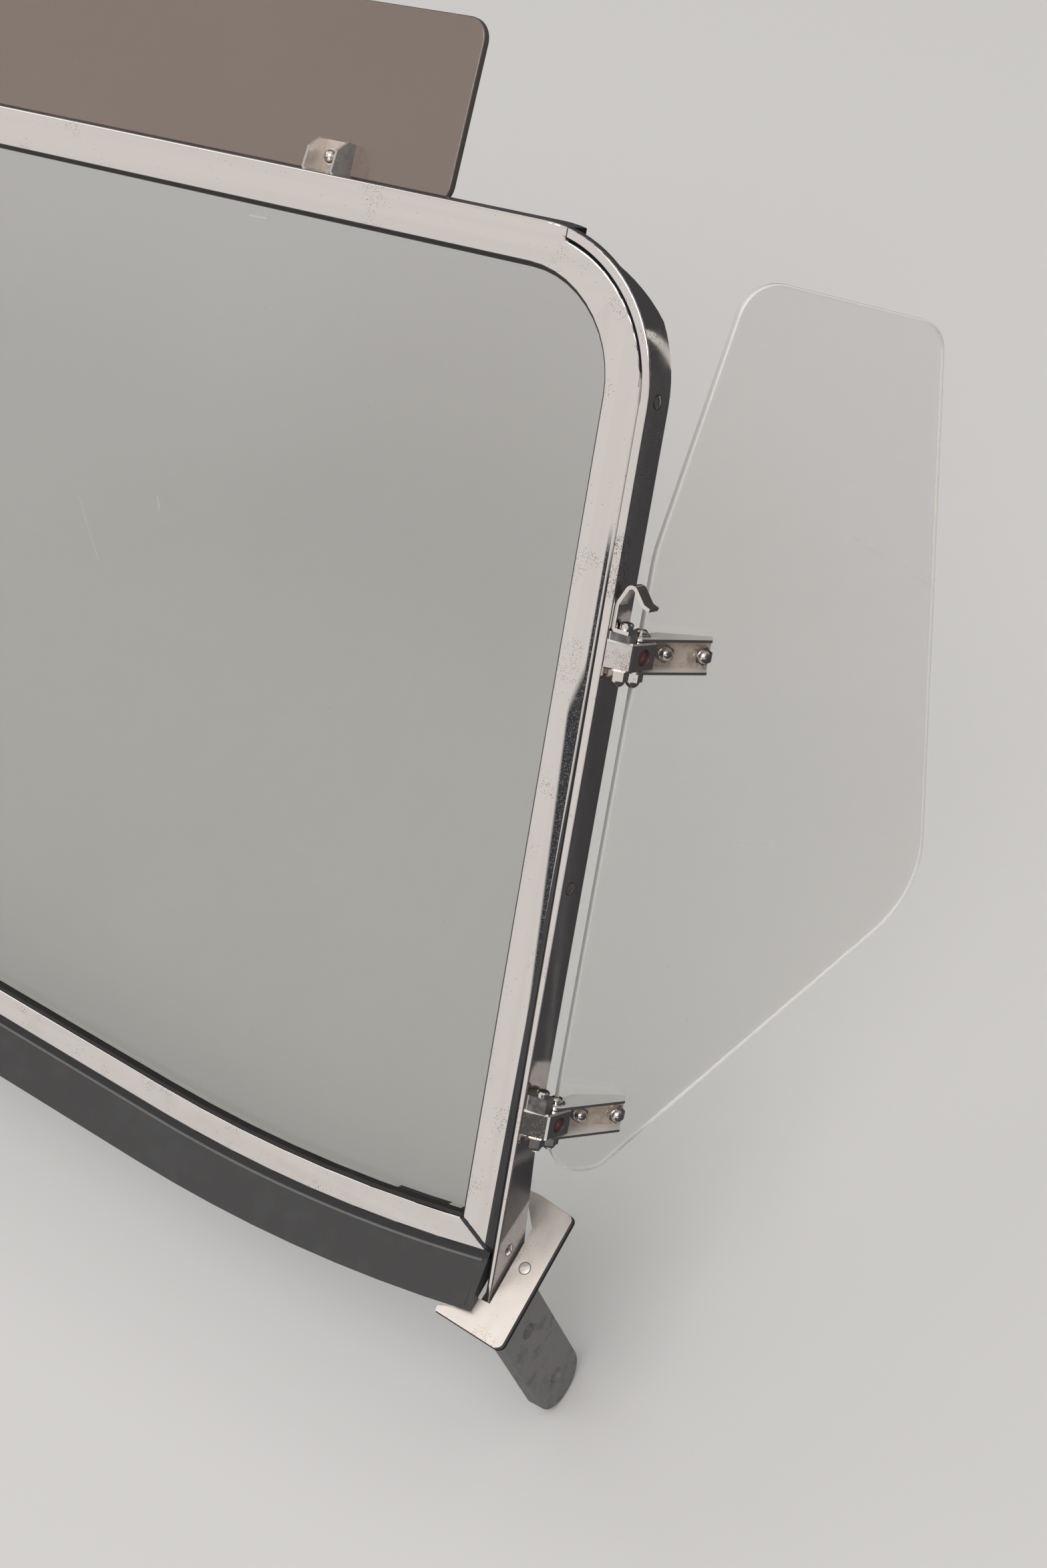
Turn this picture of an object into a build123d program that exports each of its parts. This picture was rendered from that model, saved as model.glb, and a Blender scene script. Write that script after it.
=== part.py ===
from build123d import *
from math import sin, cos, tan, radians, sqrt
import os

# Windscreen assembly of an open two-seat sports car, in millimetres.
# It holds a flat laminated pane in a bright frame between two posts with base plates and legs.
# A clear side deflector is hinged to each post, and two tinted visors are hinged over the top rail.
# +Z is up, the car's front is towards -Y and its left side is towards +X.
# The origin is on the car's centreline, midway between the bolt holes of the two legs.

# Screen plane
RAKE = 42.0              # lean of the screen from upright, in degrees
FOOT_Y = -6.2            # foot of the screen plane at the base plates
FOOT_Z = 75.0

# Overall outline, in the screen plane: u across, v up the slope, n out of the face
HALF_WIDTH = 606.0       # centreline to the outer side of a post
TOP_HEIGHT = 460.7       # foot to the outer edge of the top rail
CORNER_RADIUS = 63.0     # outer corner
RAIL_FACE = 17.9         # width of the top and side rails
SIDE_FACE = 22.2         # post's outer side to the daylight edge
INNER_CORNER = 45.0      # radius of the daylight corner
LOWER_FACE = 13.5        # width of the lower rail
FRAME_DEPTH = 14.0       # frame, front to back
FRAME_ROUND = 1.2        # rounding of the frame's front edges
MITRE_GROOVE = 0.9       # bevel along the mitred joints

# Lower rail's line: a crest at the centre, a straight fall and a dip before each post
DIP_IN = 151.0           # lowest point of the rail, inboard of the post's outer side
DIP_V = 18.8
DIP_RADIUS = 790.0
FALL_ANGLE = 4.0
CREST_RADIUS = 2870.0

# Pane and its rubber
GLASS_THICKNESS = 6.0
GLASS_BITE = 7.0         # how far the pane reaches into the frame's groove
GROOVE_WIDTH = 8.0
GROOVE_DEPTH = 9.0
SEAL_SHOWS = 1.6         # rubber in sight along the top and the sides
SEAL_SHOWS_LOW = 2.0     # rubber in sight along the lower rail, in front of the pane
SEAL_LIP = 0.5           # from the rail's face to the lip over the rail's front wall
SEAL_SUNK = 0.4          # behind the pane it stays below the rail's rear wall
SEAL_PLAY = 0.1

# Scuttle seal, a rubber apron hung under the lower rail
APRON_ROOM = 0.6         # between its end and the post
APRON_THICKNESS = 3.0
APRON_DROP = 25.0
APRON_FLARE = 10.0
APRON_HEAD = 6.0
APRON_FRONT = 1.0        # behind the rail's face
APRON_BACK = 2.0         # in front of the rail's back

# Posts
POST_WALL = 4.3
POST_PROUD = 0.8
POST_DEPTH = 15.3
POST_FOOT_DEPTH = 22.0
POST_FLARE_V = 66.0      # height at which the post starts to widen towards its foot
POST_GAP = 0.4           # joint between frame and post
POST_ROUND = 0.7         # rounding of its front edges
LIP_END_IN = 51.0        # where the post ends on the top rail, inboard of its outer side
LIP_END_DEPTH = 3.5
TAPER_START_IN = 9.0
TAPER_END_IN = 26.0
TAPER_DROP = 80.7        # the taper's start below the top
GROOVE_DROP = 130.0      # where the groove between frame and post starts, below the top
GROOVE_OUTER = 1.7       # its outer edge at the foot, inboard of the post's side
GROOVE_INNER = 8.4
GROOVE_DEEP = 3.2

# Legs
LEG_TOP = 66.0
LEG_BOTTOM = -45.0
LEG_WIDTH = 31.0
LEG_THICKNESS = 8.0
LEG_HOLE_SPACING = 50.0
LEG_HOLE_RADIUS = 4.2

# Base plates, in their own plane: x outboard from the post's side, y rearwards from the foot
PLATE_TILT = 7.0
PLATE_THICKNESS = 2.0
PLATE_OUT = 16.5
PLATE_FRONT = 19.0
PLATE_REAR = 50.0
TONGUE_REACH = 21.0
PLATE_CORNER = 3.0
PAD_THICKNESS = 1.5
PAD_SHOWS = 0.3
POST_ROOM = 1.2          # room round the post in the plate and the pad
PLATE_NOTCH = 3.5        # room in front of the slanting post
PAD_NOTCH = 5.8

# Deflector hinges: a outboard from the post's side, b rearwards from its front, c up from the block's middle
HINGE_DROP = 163.7       # upper hinge, below the top of the screen
HINGE_HEIGHTS = {"upper": TOP_HEIGHT - HINGE_DROP, "lower": 85.2}
BLOCK_HEIGHT = 12.2
BLOCK_LENGTH = 19.0
BLOCK_FRONT_OUT = 10.4
BLOCK_FRONT_SKEW = 4.6
BLOCK_REAR_OUT = 12.8
BLOCK_EDGE = 0.7         # bevel along its edges away from the post
AXIS_A = 6.0
AXIS_B = 15.4
PIN_RADIUS = 2.0
PIN_PLAY = 0.05
BOLT_A = 4.9
BOLT_B = 5.3
BOLT_RADIUS = 2.0
LUG_HEIGHTS = {"upper": 3.5, "lower": 7.0}
LUG_OUT = 8.6
LUG_FRONT = 0.4
LUG_SKEW = 2.6
LUG_REAR = 8.6
RECESS_RADIUS = 3.6
RECESS_DEPTH = 1.6
HEAD_RADIUS = 2.9
HEAD_HEIGHT = 2.6
SLOT_WIDTH = 0.9
SLOT_DEPTH = 1.1
NUT_FLATS = 7.0
NUT_HEIGHT = 4.0
DOME_RADIUS = 3.1
BLOCK_DOME_RADIUS = 3.3

# Folded channels that carry the deflector
WING_ANGLE = 36.0        # swing out from straight back, as set
SHEET = 1.2
CHANNEL_PLAY = 0.3
CHANNEL_LENGTH = 36.0
CHANNEL_SLANT = 2.5      # its tip leans back towards the web
CHANNEL_END = 5.6
CHANNEL_TIP = 5.2
WEB_BACK = 7.0
WEB_START = 11.0
THROAT_W = 6.0           # inner edge of the channel's cheek, between its round end and its web
THROAT_BACK = 5.6
WEB_BOLTS = (13.9, 31.5)

# Deflector panel: w out from the hinge axis, v up the post
PANEL_THICKNESS = 5.0
PANEL_EDGE = 1.4         # rounding of its polished edges
PANEL_FRONT = 4.1
PANEL_NOSE_V = 28.2
PANEL_NOSE_RADIUS = 17.4
PANEL_BREAK_DROP = 123.7     # below the top of the screen
PANEL_BREAK_RADIUS = 60.0
PANEL_TOP_FRONT = (24.0, 8.0)    # w, drop below the top of the screen
PANEL_TOP_FRONT_RADIUS = 17.0
PANEL_TOP_REAR = (114.4, 16.6)
PANEL_TOP_REAR_RADIUS = 14.0
PANEL_LOW_REAR = (162.7, 267.0)
PANEL_LOW_REAR_RADIUS = 52.0

# Hooks above the upper hinges, a bent strip: points outboard and up from the block's middle
HOOK_STRIP = 1.6
HOOK_FRONT = 1.2
HOOK_WIDTH = 7.0
HOOK_GAP = 0.2           # between its leg and the post
HOOK_BENDS = (1.0, 1.5, 2.5, 1.2)

# Visors
VISOR_INNER = 66.0
VISOR_END_IN = 140.0     # its outer end, inboard of the post's outer side
VISOR_LOW = 3.0
VISOR_HIGH = 84.0
VISOR_CORNER = 10.0
VISOR_THICKNESS = 4.0
VISOR_EDGE = 1.0
VISOR_LEAN = 8.0         # back from the screen plane, as set
VISOR_AXIS_DROP = 8.7    # below the top of the screen
VISOR_AXIS_N = -28.0
VISOR_BRACKET_IN = 64.0  # from each end of the visor to the bracket's middle
VISOR_BLOCK_WIDTH = 14.2
VISOR_BLOCK_HEIGHT = 11.0
VISOR_CHANNEL_LENGTH = 22.0
VISOR_WEB_BACK = 7.4
VISOR_END = 5.4
VISOR_WEB_START = 7.4
VISOR_BOLT = 14.5

# Directions: across the car, up the screen's slope and out of its face
ACROSS = Vector(1, 0, 0)
UP_SLOPE = Vector(0, sin(radians(RAKE)), cos(radians(RAKE)))
OUT_FACE = Vector(0, -cos(radians(RAKE)), sin(radians(RAKE)))
REARWARD = OUT_FACE * -1.0
SCREEN = Plane(origin=(0, FOOT_Y, FOOT_Z), x_dir=ACROSS, z_dir=OUT_FACE)

POST_INNER = HALF_WIDTH - POST_WALL
DAYLIGHT_HALF = HALF_WIDTH - SIDE_FACE
DAYLIGHT_TOP = TOP_HEIGHT - RAIL_FACE
LIP_END_U = HALF_WIDTH - LIP_END_IN
DIP_U = HALF_WIDTH - DIP_IN
BLOCK_TOP = BLOCK_HEIGHT / 2
VISOR_OUTER = HALF_WIDTH - VISOR_END_IN
VISOR_AXIS_V = TOP_HEIGHT - VISOR_AXIS_DROP
VISOR_BRACKETS = (VISOR_INNER + VISOR_BRACKET_IN, VISOR_OUTER - VISOR_BRACKET_IN)
FLANGE_IN = BLOCK_TOP + CHANNEL_PLAY
FLANGE_OUT = FLANGE_IN + SHEET
FAR = 1.5 * HALF_WIDTH
BELOW = TOP_HEIGHT / 3   # how far cutting shapes run past the foot


def screen_point(u, v, n):
    return SCREEN.from_local_coords(Vector(u, v, n))


def rail_line(u):
    """Height of the lower rail's upper edge at u, for u of either sign."""
    u = abs(u)
    fall = radians(FALL_ANGLE)
    dip_end = DIP_U - DIP_RADIUS * sin(fall)
    if u >= dip_end:
        return DIP_V + DIP_RADIUS - sqrt(DIP_RADIUS**2 - (u - DIP_U) ** 2)
    dip_end_v = DIP_V + DIP_RADIUS * (1 - cos(fall))
    crest_end = CREST_RADIUS * sin(fall)
    if u >= crest_end:
        return dip_end_v + (dip_end - u) * tan(fall)
    crest_end_v = dip_end_v + (dip_end - crest_end) * tan(fall)
    return crest_end_v + sqrt(CREST_RADIUS**2 - u**2) - CREST_RADIUS * cos(fall)


def rail_stations(reach):
    """Ends of the rail's arcs and straights from the left end to the right one."""
    fall = radians(FALL_ANGLE)
    dip_end = DIP_U - DIP_RADIUS * sin(fall)
    crest_end = CREST_RADIUS * sin(fall)
    return [-reach, -dip_end, -crest_end, crest_end, dip_end, reach]


def rail_edges(reach, shift):
    """The rail's line as tangent arcs and straights, moved up by shift."""
    stations = rail_stations(reach)
    for number, (start, end) in enumerate(zip(stations[:-1], stations[1:])):
        first = (start, rail_line(start) + shift)
        last = (end, rail_line(end) + shift)
        middle = (start + end) / 2
        if number in (1, 3):
            Line(first, last)
        else:
            ThreePointArc(first, (middle, rail_line(middle) + shift), last)


def below_rail(shift, mode):
    """Everything under the rail's line moved up by shift, as a sketch face."""
    reach = HALF_WIDTH + RAIL_FACE
    depth = -BELOW
    with BuildLine() as outline:
        rail_edges(reach, shift)
        Polyline(
            (reach, rail_line(reach) + shift),
            (reach, depth),
            (-reach, depth),
            (-reach, rail_line(reach) + shift),
        )
    make_face(outline.edges(), mode=mode)


def arch(half_width, top, corner, mode=Mode.ADD):
    """The screen's outline with rounded upper corners, running down past the foot."""
    low = -BELOW
    with BuildLine() as outline:
        Polyline((-half_width, top - corner), (-half_width, low), (half_width, low), (half_width, top - corner))
        ThreePointArc(
            (half_width, top - corner),
            (half_width - corner * (1 - cos(radians(45))), top - corner * (1 - sin(radians(45)))),
            (half_width - corner, top),
        )
        Line((half_width - corner, top), (corner - half_width, top))
        ThreePointArc(
            (corner - half_width, top),
            (corner * (1 - cos(radians(45))) - half_width, top - corner * (1 - sin(radians(45)))),
            (-half_width, top - corner),
        )
    make_face(outline.edges(), mode=mode)


def front_edges(builder, height, shortest):
    """The long edges of the faces that lie n = height in front of the screen plane."""
    edges = ShapeList()
    for face in builder.faces():
        if abs(SCREEN.to_local_coords(face.center()).Z - height) < 0.01 and abs(face.normal_at().dot(OUT_FACE)) > 0.999:
            edges += face.edges().filter_by(lambda edge: edge.length > shortest)
    return edges


def keep(part, name):
    part.label = name
    export_step(part, f"parts/{name}.step")


def keep_pair(left_part, name):
    """Writes the left piece and its mirror image on the right."""
    keep(left_part, f"left_{name}")
    with BuildPart() as twin:
        mirror(left_part, about=Plane.YZ)
    keep(twin.part, f"right_{name}")


os.makedirs("parts", exist_ok=True)

# Frame: an arch of channel, mitred to the lower rail and recessed where the posts wrap it
mitre_in = (DAYLIGHT_HALF, rail_line(DAYLIGHT_HALF))
mitre_out = (POST_INNER, rail_line(POST_INNER) - LOWER_FACE)
mitre_slope = (mitre_out[1] - mitre_in[1]) / (mitre_out[0] - mitre_in[0])


def mitre_v(u):
    return mitre_in[1] + (u - mitre_in[0]) * mitre_slope


def under_mitre(mode):
    """What lies inboard of both mitres, under the frame's side limbs."""
    inner = DAYLIGHT_HALF - SIDE_FACE
    outer = HALF_WIDTH + SIDE_FACE
    for side in (-1, 1):
        with BuildLine() as outline:
            Polyline(
                (side * inner, mitre_v(inner)),
                (side * outer, mitre_v(outer)),
                (side * outer, -BELOW),
                (side * inner, -BELOW),
                close=True,
            )
        make_face(outline.edges(), mode=mode)


# Groove where frame and post meet: a V whose root rises to the frame's face, one on each side
GROOVE_APEX = HALF_WIDTH - POST_WALL - POST_GAP / 2
groove_root = GROOVE_DEEP - POST_PROUD
groove_start = screen_point(0, -GROOVE_INNER, -groove_root)
groove_end = screen_point(0, TOP_HEIGHT - GROOVE_DROP, 0)
groove_rise = 2 * GROOVE_DEEP
inner_slope = (GROOVE_INNER - POST_WALL - POST_GAP / 2) / groove_root
outer_slope = (POST_WALL + POST_GAP / 2 - GROOVE_OUTER) / GROOVE_DEEP
with BuildPart() as groove_tool:
    with BuildSketch(Plane(origin=groove_start, x_dir=ACROSS, z_dir=UP_SLOPE)) as groove_section:
        for side in (-1, 1):
            with BuildLine():
                Polyline(
                    (side * GROOVE_APEX, 0),
                    (side * (GROOVE_APEX + outer_slope * groove_rise), -groove_rise),
                    (side * (GROOVE_APEX - inner_slope * groove_rise), -groove_rise),
                    close=True,
                )
            make_face()
    extrude(groove_section.sketch, (groove_end - groove_start).length, groove_end - groove_start)

# Bevels along the mitres: a bar on edge along each joint
with BuildPart() as mitre_tool:
    for side in (-1, 1):
        start = screen_point(side * mitre_in[0], mitre_in[1], 0)
        end = screen_point(side * mitre_out[0], mitre_out[1], 0)
        with BuildSketch(Plane(origin=start, x_dir=OUT_FACE, z_dir=end - start)):
            Rectangle(MITRE_GROOVE * sqrt(2), MITRE_GROOVE * sqrt(2), rotation=45)
        extrude(amount=(end - start).length)

with BuildPart() as upper_frame:
    with BuildSketch(SCREEN):
        arch(HALF_WIDTH, TOP_HEIGHT, CORNER_RADIUS)
        arch(DAYLIGHT_HALF, DAYLIGHT_TOP, INNER_CORNER, mode=Mode.SUBTRACT)
        under_mitre(Mode.SUBTRACT)
    extrude(amount=-FRAME_DEPTH)
    for side in (-1, 1):
        with BuildSketch(SCREEN) as post_room:
            arch(HALF_WIDTH + RAIL_FACE, TOP_HEIGHT + RAIL_FACE, CORNER_RADIUS + RAIL_FACE)
            inner = POST_WALL + POST_GAP
            arch(HALF_WIDTH - inner, TOP_HEIGHT - inner, CORNER_RADIUS - inner, mode=Mode.SUBTRACT)
            with Locations((side * (LIP_END_U - POST_GAP - FAR), 0)):
                Rectangle(2 * FAR, 2 * FAR, mode=Mode.SUBTRACT)
        extrude(amount=-FRAME_DEPTH, mode=Mode.SUBTRACT)
    fillet(front_edges(upper_frame, 0, 2 * LOWER_FACE), FRAME_ROUND)
    with BuildSketch(SCREEN.offset(-(FRAME_DEPTH - GROOVE_WIDTH) / 2)):
        arch(DAYLIGHT_HALF + GROOVE_DEPTH, DAYLIGHT_TOP + GROOVE_DEPTH, INNER_CORNER + GROOVE_DEPTH)
    extrude(amount=-GROOVE_WIDTH, mode=Mode.SUBTRACT)
    add(groove_tool.part, mode=Mode.SUBTRACT)
    add(mitre_tool.part, mode=Mode.SUBTRACT)
keep(upper_frame.part, "upper_frame")

# Lower rail, curved over the scuttle
with BuildPart() as lower_rail:
    with BuildSketch(SCREEN):
        below_rail(0, Mode.ADD)
        below_rail(-LOWER_FACE, Mode.SUBTRACT)
        with BuildLine():
            Polyline(
                (-DAYLIGHT_HALF, mitre_in[1] + BELOW),
                (-DAYLIGHT_HALF, mitre_in[1]),
                (-POST_INNER + POST_GAP, mitre_v(POST_INNER - POST_GAP)),
                (-POST_INNER + POST_GAP, -BELOW),
                (POST_INNER - POST_GAP, -BELOW),
                (POST_INNER - POST_GAP, mitre_v(POST_INNER - POST_GAP)),
                (DAYLIGHT_HALF, mitre_in[1]),
                (DAYLIGHT_HALF, mitre_in[1] + BELOW),
                close=True,
            )
        make_face(mode=Mode.INTERSECT)
    extrude(amount=-FRAME_DEPTH)
    fillet(front_edges(lower_rail, 0, 2 * LOWER_FACE), FRAME_ROUND)
    with BuildSketch(SCREEN.offset(-(FRAME_DEPTH - GROOVE_WIDTH) / 2)):
        below_rail(BELOW, Mode.ADD)
        below_rail(-GROOVE_DEPTH, Mode.SUBTRACT)
    extrude(amount=-GROOVE_WIDTH, mode=Mode.SUBTRACT)
    add(groove_tool.part, mode=Mode.SUBTRACT)
    add(mitre_tool.part, mode=Mode.SUBTRACT)
keep(lower_rail.part, "lower_rail")

# Pane
with BuildPart() as glass_pane:
    with BuildSketch(SCREEN.offset(-(FRAME_DEPTH - GLASS_THICKNESS) / 2)):
        arch(DAYLIGHT_HALF + GLASS_BITE, DAYLIGHT_TOP + GLASS_BITE, INNER_CORNER + GLASS_BITE)
        below_rail(-GLASS_BITE, Mode.SUBTRACT)
    extrude(amount=-GLASS_THICKNESS)
keep(glass_pane.part, "glass_pane")

# Glazing rubber: a channel round the pane's edge, with a lip over the lower rail's front wall
with BuildPart() as glazing_seal:
    seal_width = GROOVE_WIDTH - 2 * SEAL_PLAY
    bite = GROOVE_DEPTH - SEAL_PLAY
    with BuildSketch(SCREEN.offset(-(FRAME_DEPTH - seal_width) / 2)):
        arch(DAYLIGHT_HALF + bite, DAYLIGHT_TOP + bite, INNER_CORNER + bite)
        below_rail(-bite, Mode.SUBTRACT)
    extrude(amount=-seal_width)
    with BuildSketch(SCREEN.offset(5)):
        arch(DAYLIGHT_HALF - SEAL_SHOWS, DAYLIGHT_TOP - SEAL_SHOWS, INNER_CORNER - SEAL_SHOWS)
        below_rail(SEAL_SHOWS_LOW, Mode.SUBTRACT)
    extrude(amount=-30, mode=Mode.SUBTRACT)
    with BuildSketch(SCREEN.offset(-FRAME_DEPTH / 2)):
        Rectangle(2 * (DAYLIGHT_HALF - SEAL_SHOWS), TOP_HEIGHT)
        below_rail(-SEAL_SUNK, Mode.SUBTRACT)
    extrude(amount=-30, mode=Mode.SUBTRACT)
    with BuildSketch(SCREEN.offset(-SEAL_LIP)):
        below_rail(SEAL_SHOWS_LOW, Mode.ADD)
        below_rail(SEAL_PLAY, Mode.SUBTRACT)
        Rectangle(2 * (DAYLIGHT_HALF - SEAL_PLAY), 2 * FAR, mode=Mode.INTERSECT)
    extrude(amount=SEAL_LIP - (FRAME_DEPTH - seal_width) / 2)
    with BuildSketch(SCREEN.offset(-(FRAME_DEPTH - GLASS_THICKNESS) / 2)):
        arch(DAYLIGHT_HALF + GLASS_BITE, DAYLIGHT_TOP + GLASS_BITE, INNER_CORNER + GLASS_BITE)
        below_rail(-GLASS_BITE, Mode.SUBTRACT)
    extrude(amount=-GLASS_THICKNESS, mode=Mode.SUBTRACT)
keep(glazing_seal.part, "glazing_seal")

# Scuttle seal: a profile swept along the lower rail's underside
with BuildPart() as scuttle_seal:
    with BuildLine(SCREEN) as seal_path:
        rail_edges(HALF_WIDTH, -LOWER_FACE)
    start = Plane(origin=seal_path.line @ 0, x_dir=OUT_FACE, z_dir=seal_path.line % 0)
    up = -1 if start.y_dir.dot(UP_SLOPE) < 0 else 1
    with BuildSketch(start):
        with BuildLine():
            Polyline(
                (-FRAME_DEPTH + APRON_BACK, 0),
                (-APRON_FRONT, 0),
                (-APRON_FRONT + APRON_FLARE, -up * APRON_DROP),
                (-APRON_FRONT + APRON_FLARE - APRON_THICKNESS, -up * APRON_DROP),
                (-APRON_FRONT - APRON_THICKNESS, -up * APRON_HEAD),
                (-FRAME_DEPTH + APRON_BACK, -up * APRON_HEAD),
                close=True,
            )
        make_face()
    sweep(path=seal_path.line)
    with BuildSketch(SCREEN.offset(APRON_DROP)):
        for side in (-1, 1):
            with Locations((side * (POST_INNER - APRON_ROOM + APRON_DROP), 0)):
                Rectangle(2 * APRON_DROP, 2 * BELOW)
    extrude(amount=-3 * APRON_DROP, mode=Mode.SUBTRACT)
keep(scuttle_seal.part, "scuttle_seal")

# Posts: a bar round the frame's edge whose front shows as a bright lip, with a lug over each hinge block
post_side = Plane(origin=screen_point(HALF_WIDTH + RAIL_FACE, 0, 0), x_dir=UP_SLOPE, z_dir=ACROSS)
post_top = Plane(origin=screen_point(0, TOP_HEIGHT - TAPER_DROP, 0), x_dir=ACROSS, z_dir=UP_SLOPE)
with BuildPart() as post:
    with BuildSketch(SCREEN.offset(POST_PROUD)):
        arch(HALF_WIDTH, TOP_HEIGHT, CORNER_RADIUS)
        arch(POST_INNER, TOP_HEIGHT - POST_WALL, CORNER_RADIUS - POST_WALL, mode=Mode.SUBTRACT)
        with Locations((LIP_END_U - FAR, 0)):
            Rectangle(2 * FAR, 2 * FAR, mode=Mode.SUBTRACT)
    extrude(amount=-(POST_PROUD + POST_FOOT_DEPTH))
    fillet(front_edges(post, POST_PROUD, CORNER_RADIUS), POST_ROUND)
    with BuildSketch(post_side):
        with BuildLine():
            Polyline(
                (0, -POST_FOOT_DEPTH),
                (POST_FLARE_V, -POST_DEPTH),
                (FAR, -POST_DEPTH),
                (FAR, -FAR),
                (0, -FAR),
                close=True,
            )
        make_face()
    extrude(amount=-FAR, mode=Mode.SUBTRACT)
    with BuildSketch(post_top):
        with BuildLine():
            Polyline(
                (HALF_WIDTH - TAPER_START_IN, POST_DEPTH),
                (HALF_WIDTH - TAPER_END_IN, LIP_END_DEPTH),
                (0, LIP_END_DEPTH),
                (0, FAR),
                (HALF_WIDTH - TAPER_START_IN, FAR),
                close=True,
            )
        make_face()
    extrude(amount=FAR, mode=Mode.SUBTRACT)
    add(groove_tool.part, mode=Mode.SUBTRACT)
    with BuildSketch(Plane.XY.offset(LEG_TOP)):
        Rectangle(3 * FAR, 3 * FAR)
    extrude(amount=-FAR, mode=Mode.SUBTRACT)
    for place, height in HINGE_HEIGHTS.items():
        lug_low = height + BLOCK_TOP
        with BuildSketch(Plane(origin=screen_point(HALF_WIDTH, lug_low, 0), x_dir=ACROSS, z_dir=UP_SLOPE)):
            with BuildLine():
                Polyline(
                    (-POST_WALL / 2, LUG_FRONT),
                    (LUG_OUT, LUG_FRONT + LUG_SKEW),
                    (LUG_OUT, LUG_REAR),
                    (-POST_WALL / 2, LUG_REAR),
                    close=True,
                )
            make_face()
            with Locations((BOLT_A, BOLT_B)):
                Circle(BOLT_RADIUS + PIN_PLAY, mode=Mode.SUBTRACT)
        extrude(amount=LUG_HEIGHTS[place])
keep_pair(post.part, "post")

# Legs: flat bars from under the base plates down into the scuttle, each with two bolt holes
with BuildPart() as leg:
    with BuildSketch(Plane(origin=(HALF_WIDTH, 0, 0), x_dir=(0, 1, 0), z_dir=(1, 0, 0))):
        with Locations((0, (LEG_TOP + LEG_BOTTOM) / 2)):
            SlotOverall(LEG_TOP - LEG_BOTTOM, LEG_WIDTH, rotation=90)
        with Locations((0, (LEG_TOP + LEG_BOTTOM + LEG_WIDTH) / 2)):
            Rectangle(LEG_WIDTH, LEG_TOP - LEG_BOTTOM - LEG_WIDTH)
        with Locations((0, -LEG_HOLE_SPACING / 2), (0, LEG_HOLE_SPACING / 2)):
            Circle(LEG_HOLE_RADIUS, mode=Mode.SUBTRACT)
    extrude(amount=-LEG_THICKNESS)
keep_pair(leg.part, "leg")

# Base plates and the rubber pads under them
tilt = radians(PLATE_TILT)
foot = screen_point(HALF_WIDTH, 0, 0)
plate_plane = Plane(origin=foot, x_dir=ACROSS, z_dir=Vector(0, -sin(tilt), cos(tilt)))
POST_FOOT_REAR = POST_FOOT_DEPTH / cos(radians(RAKE + PLATE_TILT)) + POST_ROOM


def plate_outline(grow, notch):
    """The plate's outline: a strip beside the post, a tongue in front of it and a hook behind it."""
    with BuildLine() as outline:
        Polyline(
            (PLATE_OUT + grow, PLATE_REAR - 3 + grow),
            (PLATE_OUT + grow, -PLATE_FRONT + 1 - grow),
            (PLATE_OUT - 3, -PLATE_FRONT - 0.6 - grow),
            (-TONGUE_REACH - grow, -PLATE_FRONT + 2 - grow),
            (-TONGUE_REACH - grow, -PLATE_FRONT + 4.5 + grow),
            (-5, -9 + grow),
            (-6.5, -notch),
            (POST_ROOM, -notch),
            (POST_ROOM, POST_FOOT_REAR),
            (-9.5, PLATE_REAR - 3),
            (-9.5, PLATE_REAR + grow),
            (-4, PLATE_REAR + grow),
            close=True,
        )
    make_face(outline.edges())


with BuildPart() as base_plate:
    with BuildSketch(plate_plane) as plate_face:
        plate_outline(0, PLATE_NOTCH)
        outer = plate_face.vertices().group_by(Axis.X)[-1]
        fillet(outer, PLATE_CORNER)
    extrude(amount=-PLATE_THICKNESS)
keep_pair(base_plate.part, "base_plate")

with BuildPart() as base_pad:
    with BuildSketch(plate_plane.offset(-PLATE_THICKNESS)) as pad_face:
        plate_outline(PAD_SHOWS, PAD_NOTCH)
        outer = pad_face.vertices().group_by(Axis.X)[-1]
        fillet(outer, PLATE_CORNER)
    extrude(amount=-PAD_THICKNESS)
keep_pair(base_pad.part, "base_pad")

# Hinge blocks
def plan(v, c=0.0):
    """Plane square to the hinge axis: x outboard from the post's side, y rearwards from its front."""
    return Plane(origin=screen_point(HALF_WIDTH, v + c, 0), x_dir=ACROSS, z_dir=UP_SLOPE)


side_out = BLOCK_REAR_OUT - BLOCK_FRONT_OUT
side_back = BLOCK_LENGTH - BLOCK_FRONT_SKEW
side_length = sqrt(side_out**2 + side_back**2)
recess_a = BLOCK_FRONT_OUT + side_out / 2
recess_b = BLOCK_FRONT_SKEW + side_back / 2
side_normal = (ACROSS * side_back + REARWARD * -side_out) * (1 / side_length)


def clear_of_post(edge):
    """Straight edges of a block that don't lie on the post's side."""
    return edge.geom_type == GeomType.LINE and edge.center().X > HALF_WIDTH + BLOCK_EDGE


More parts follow.
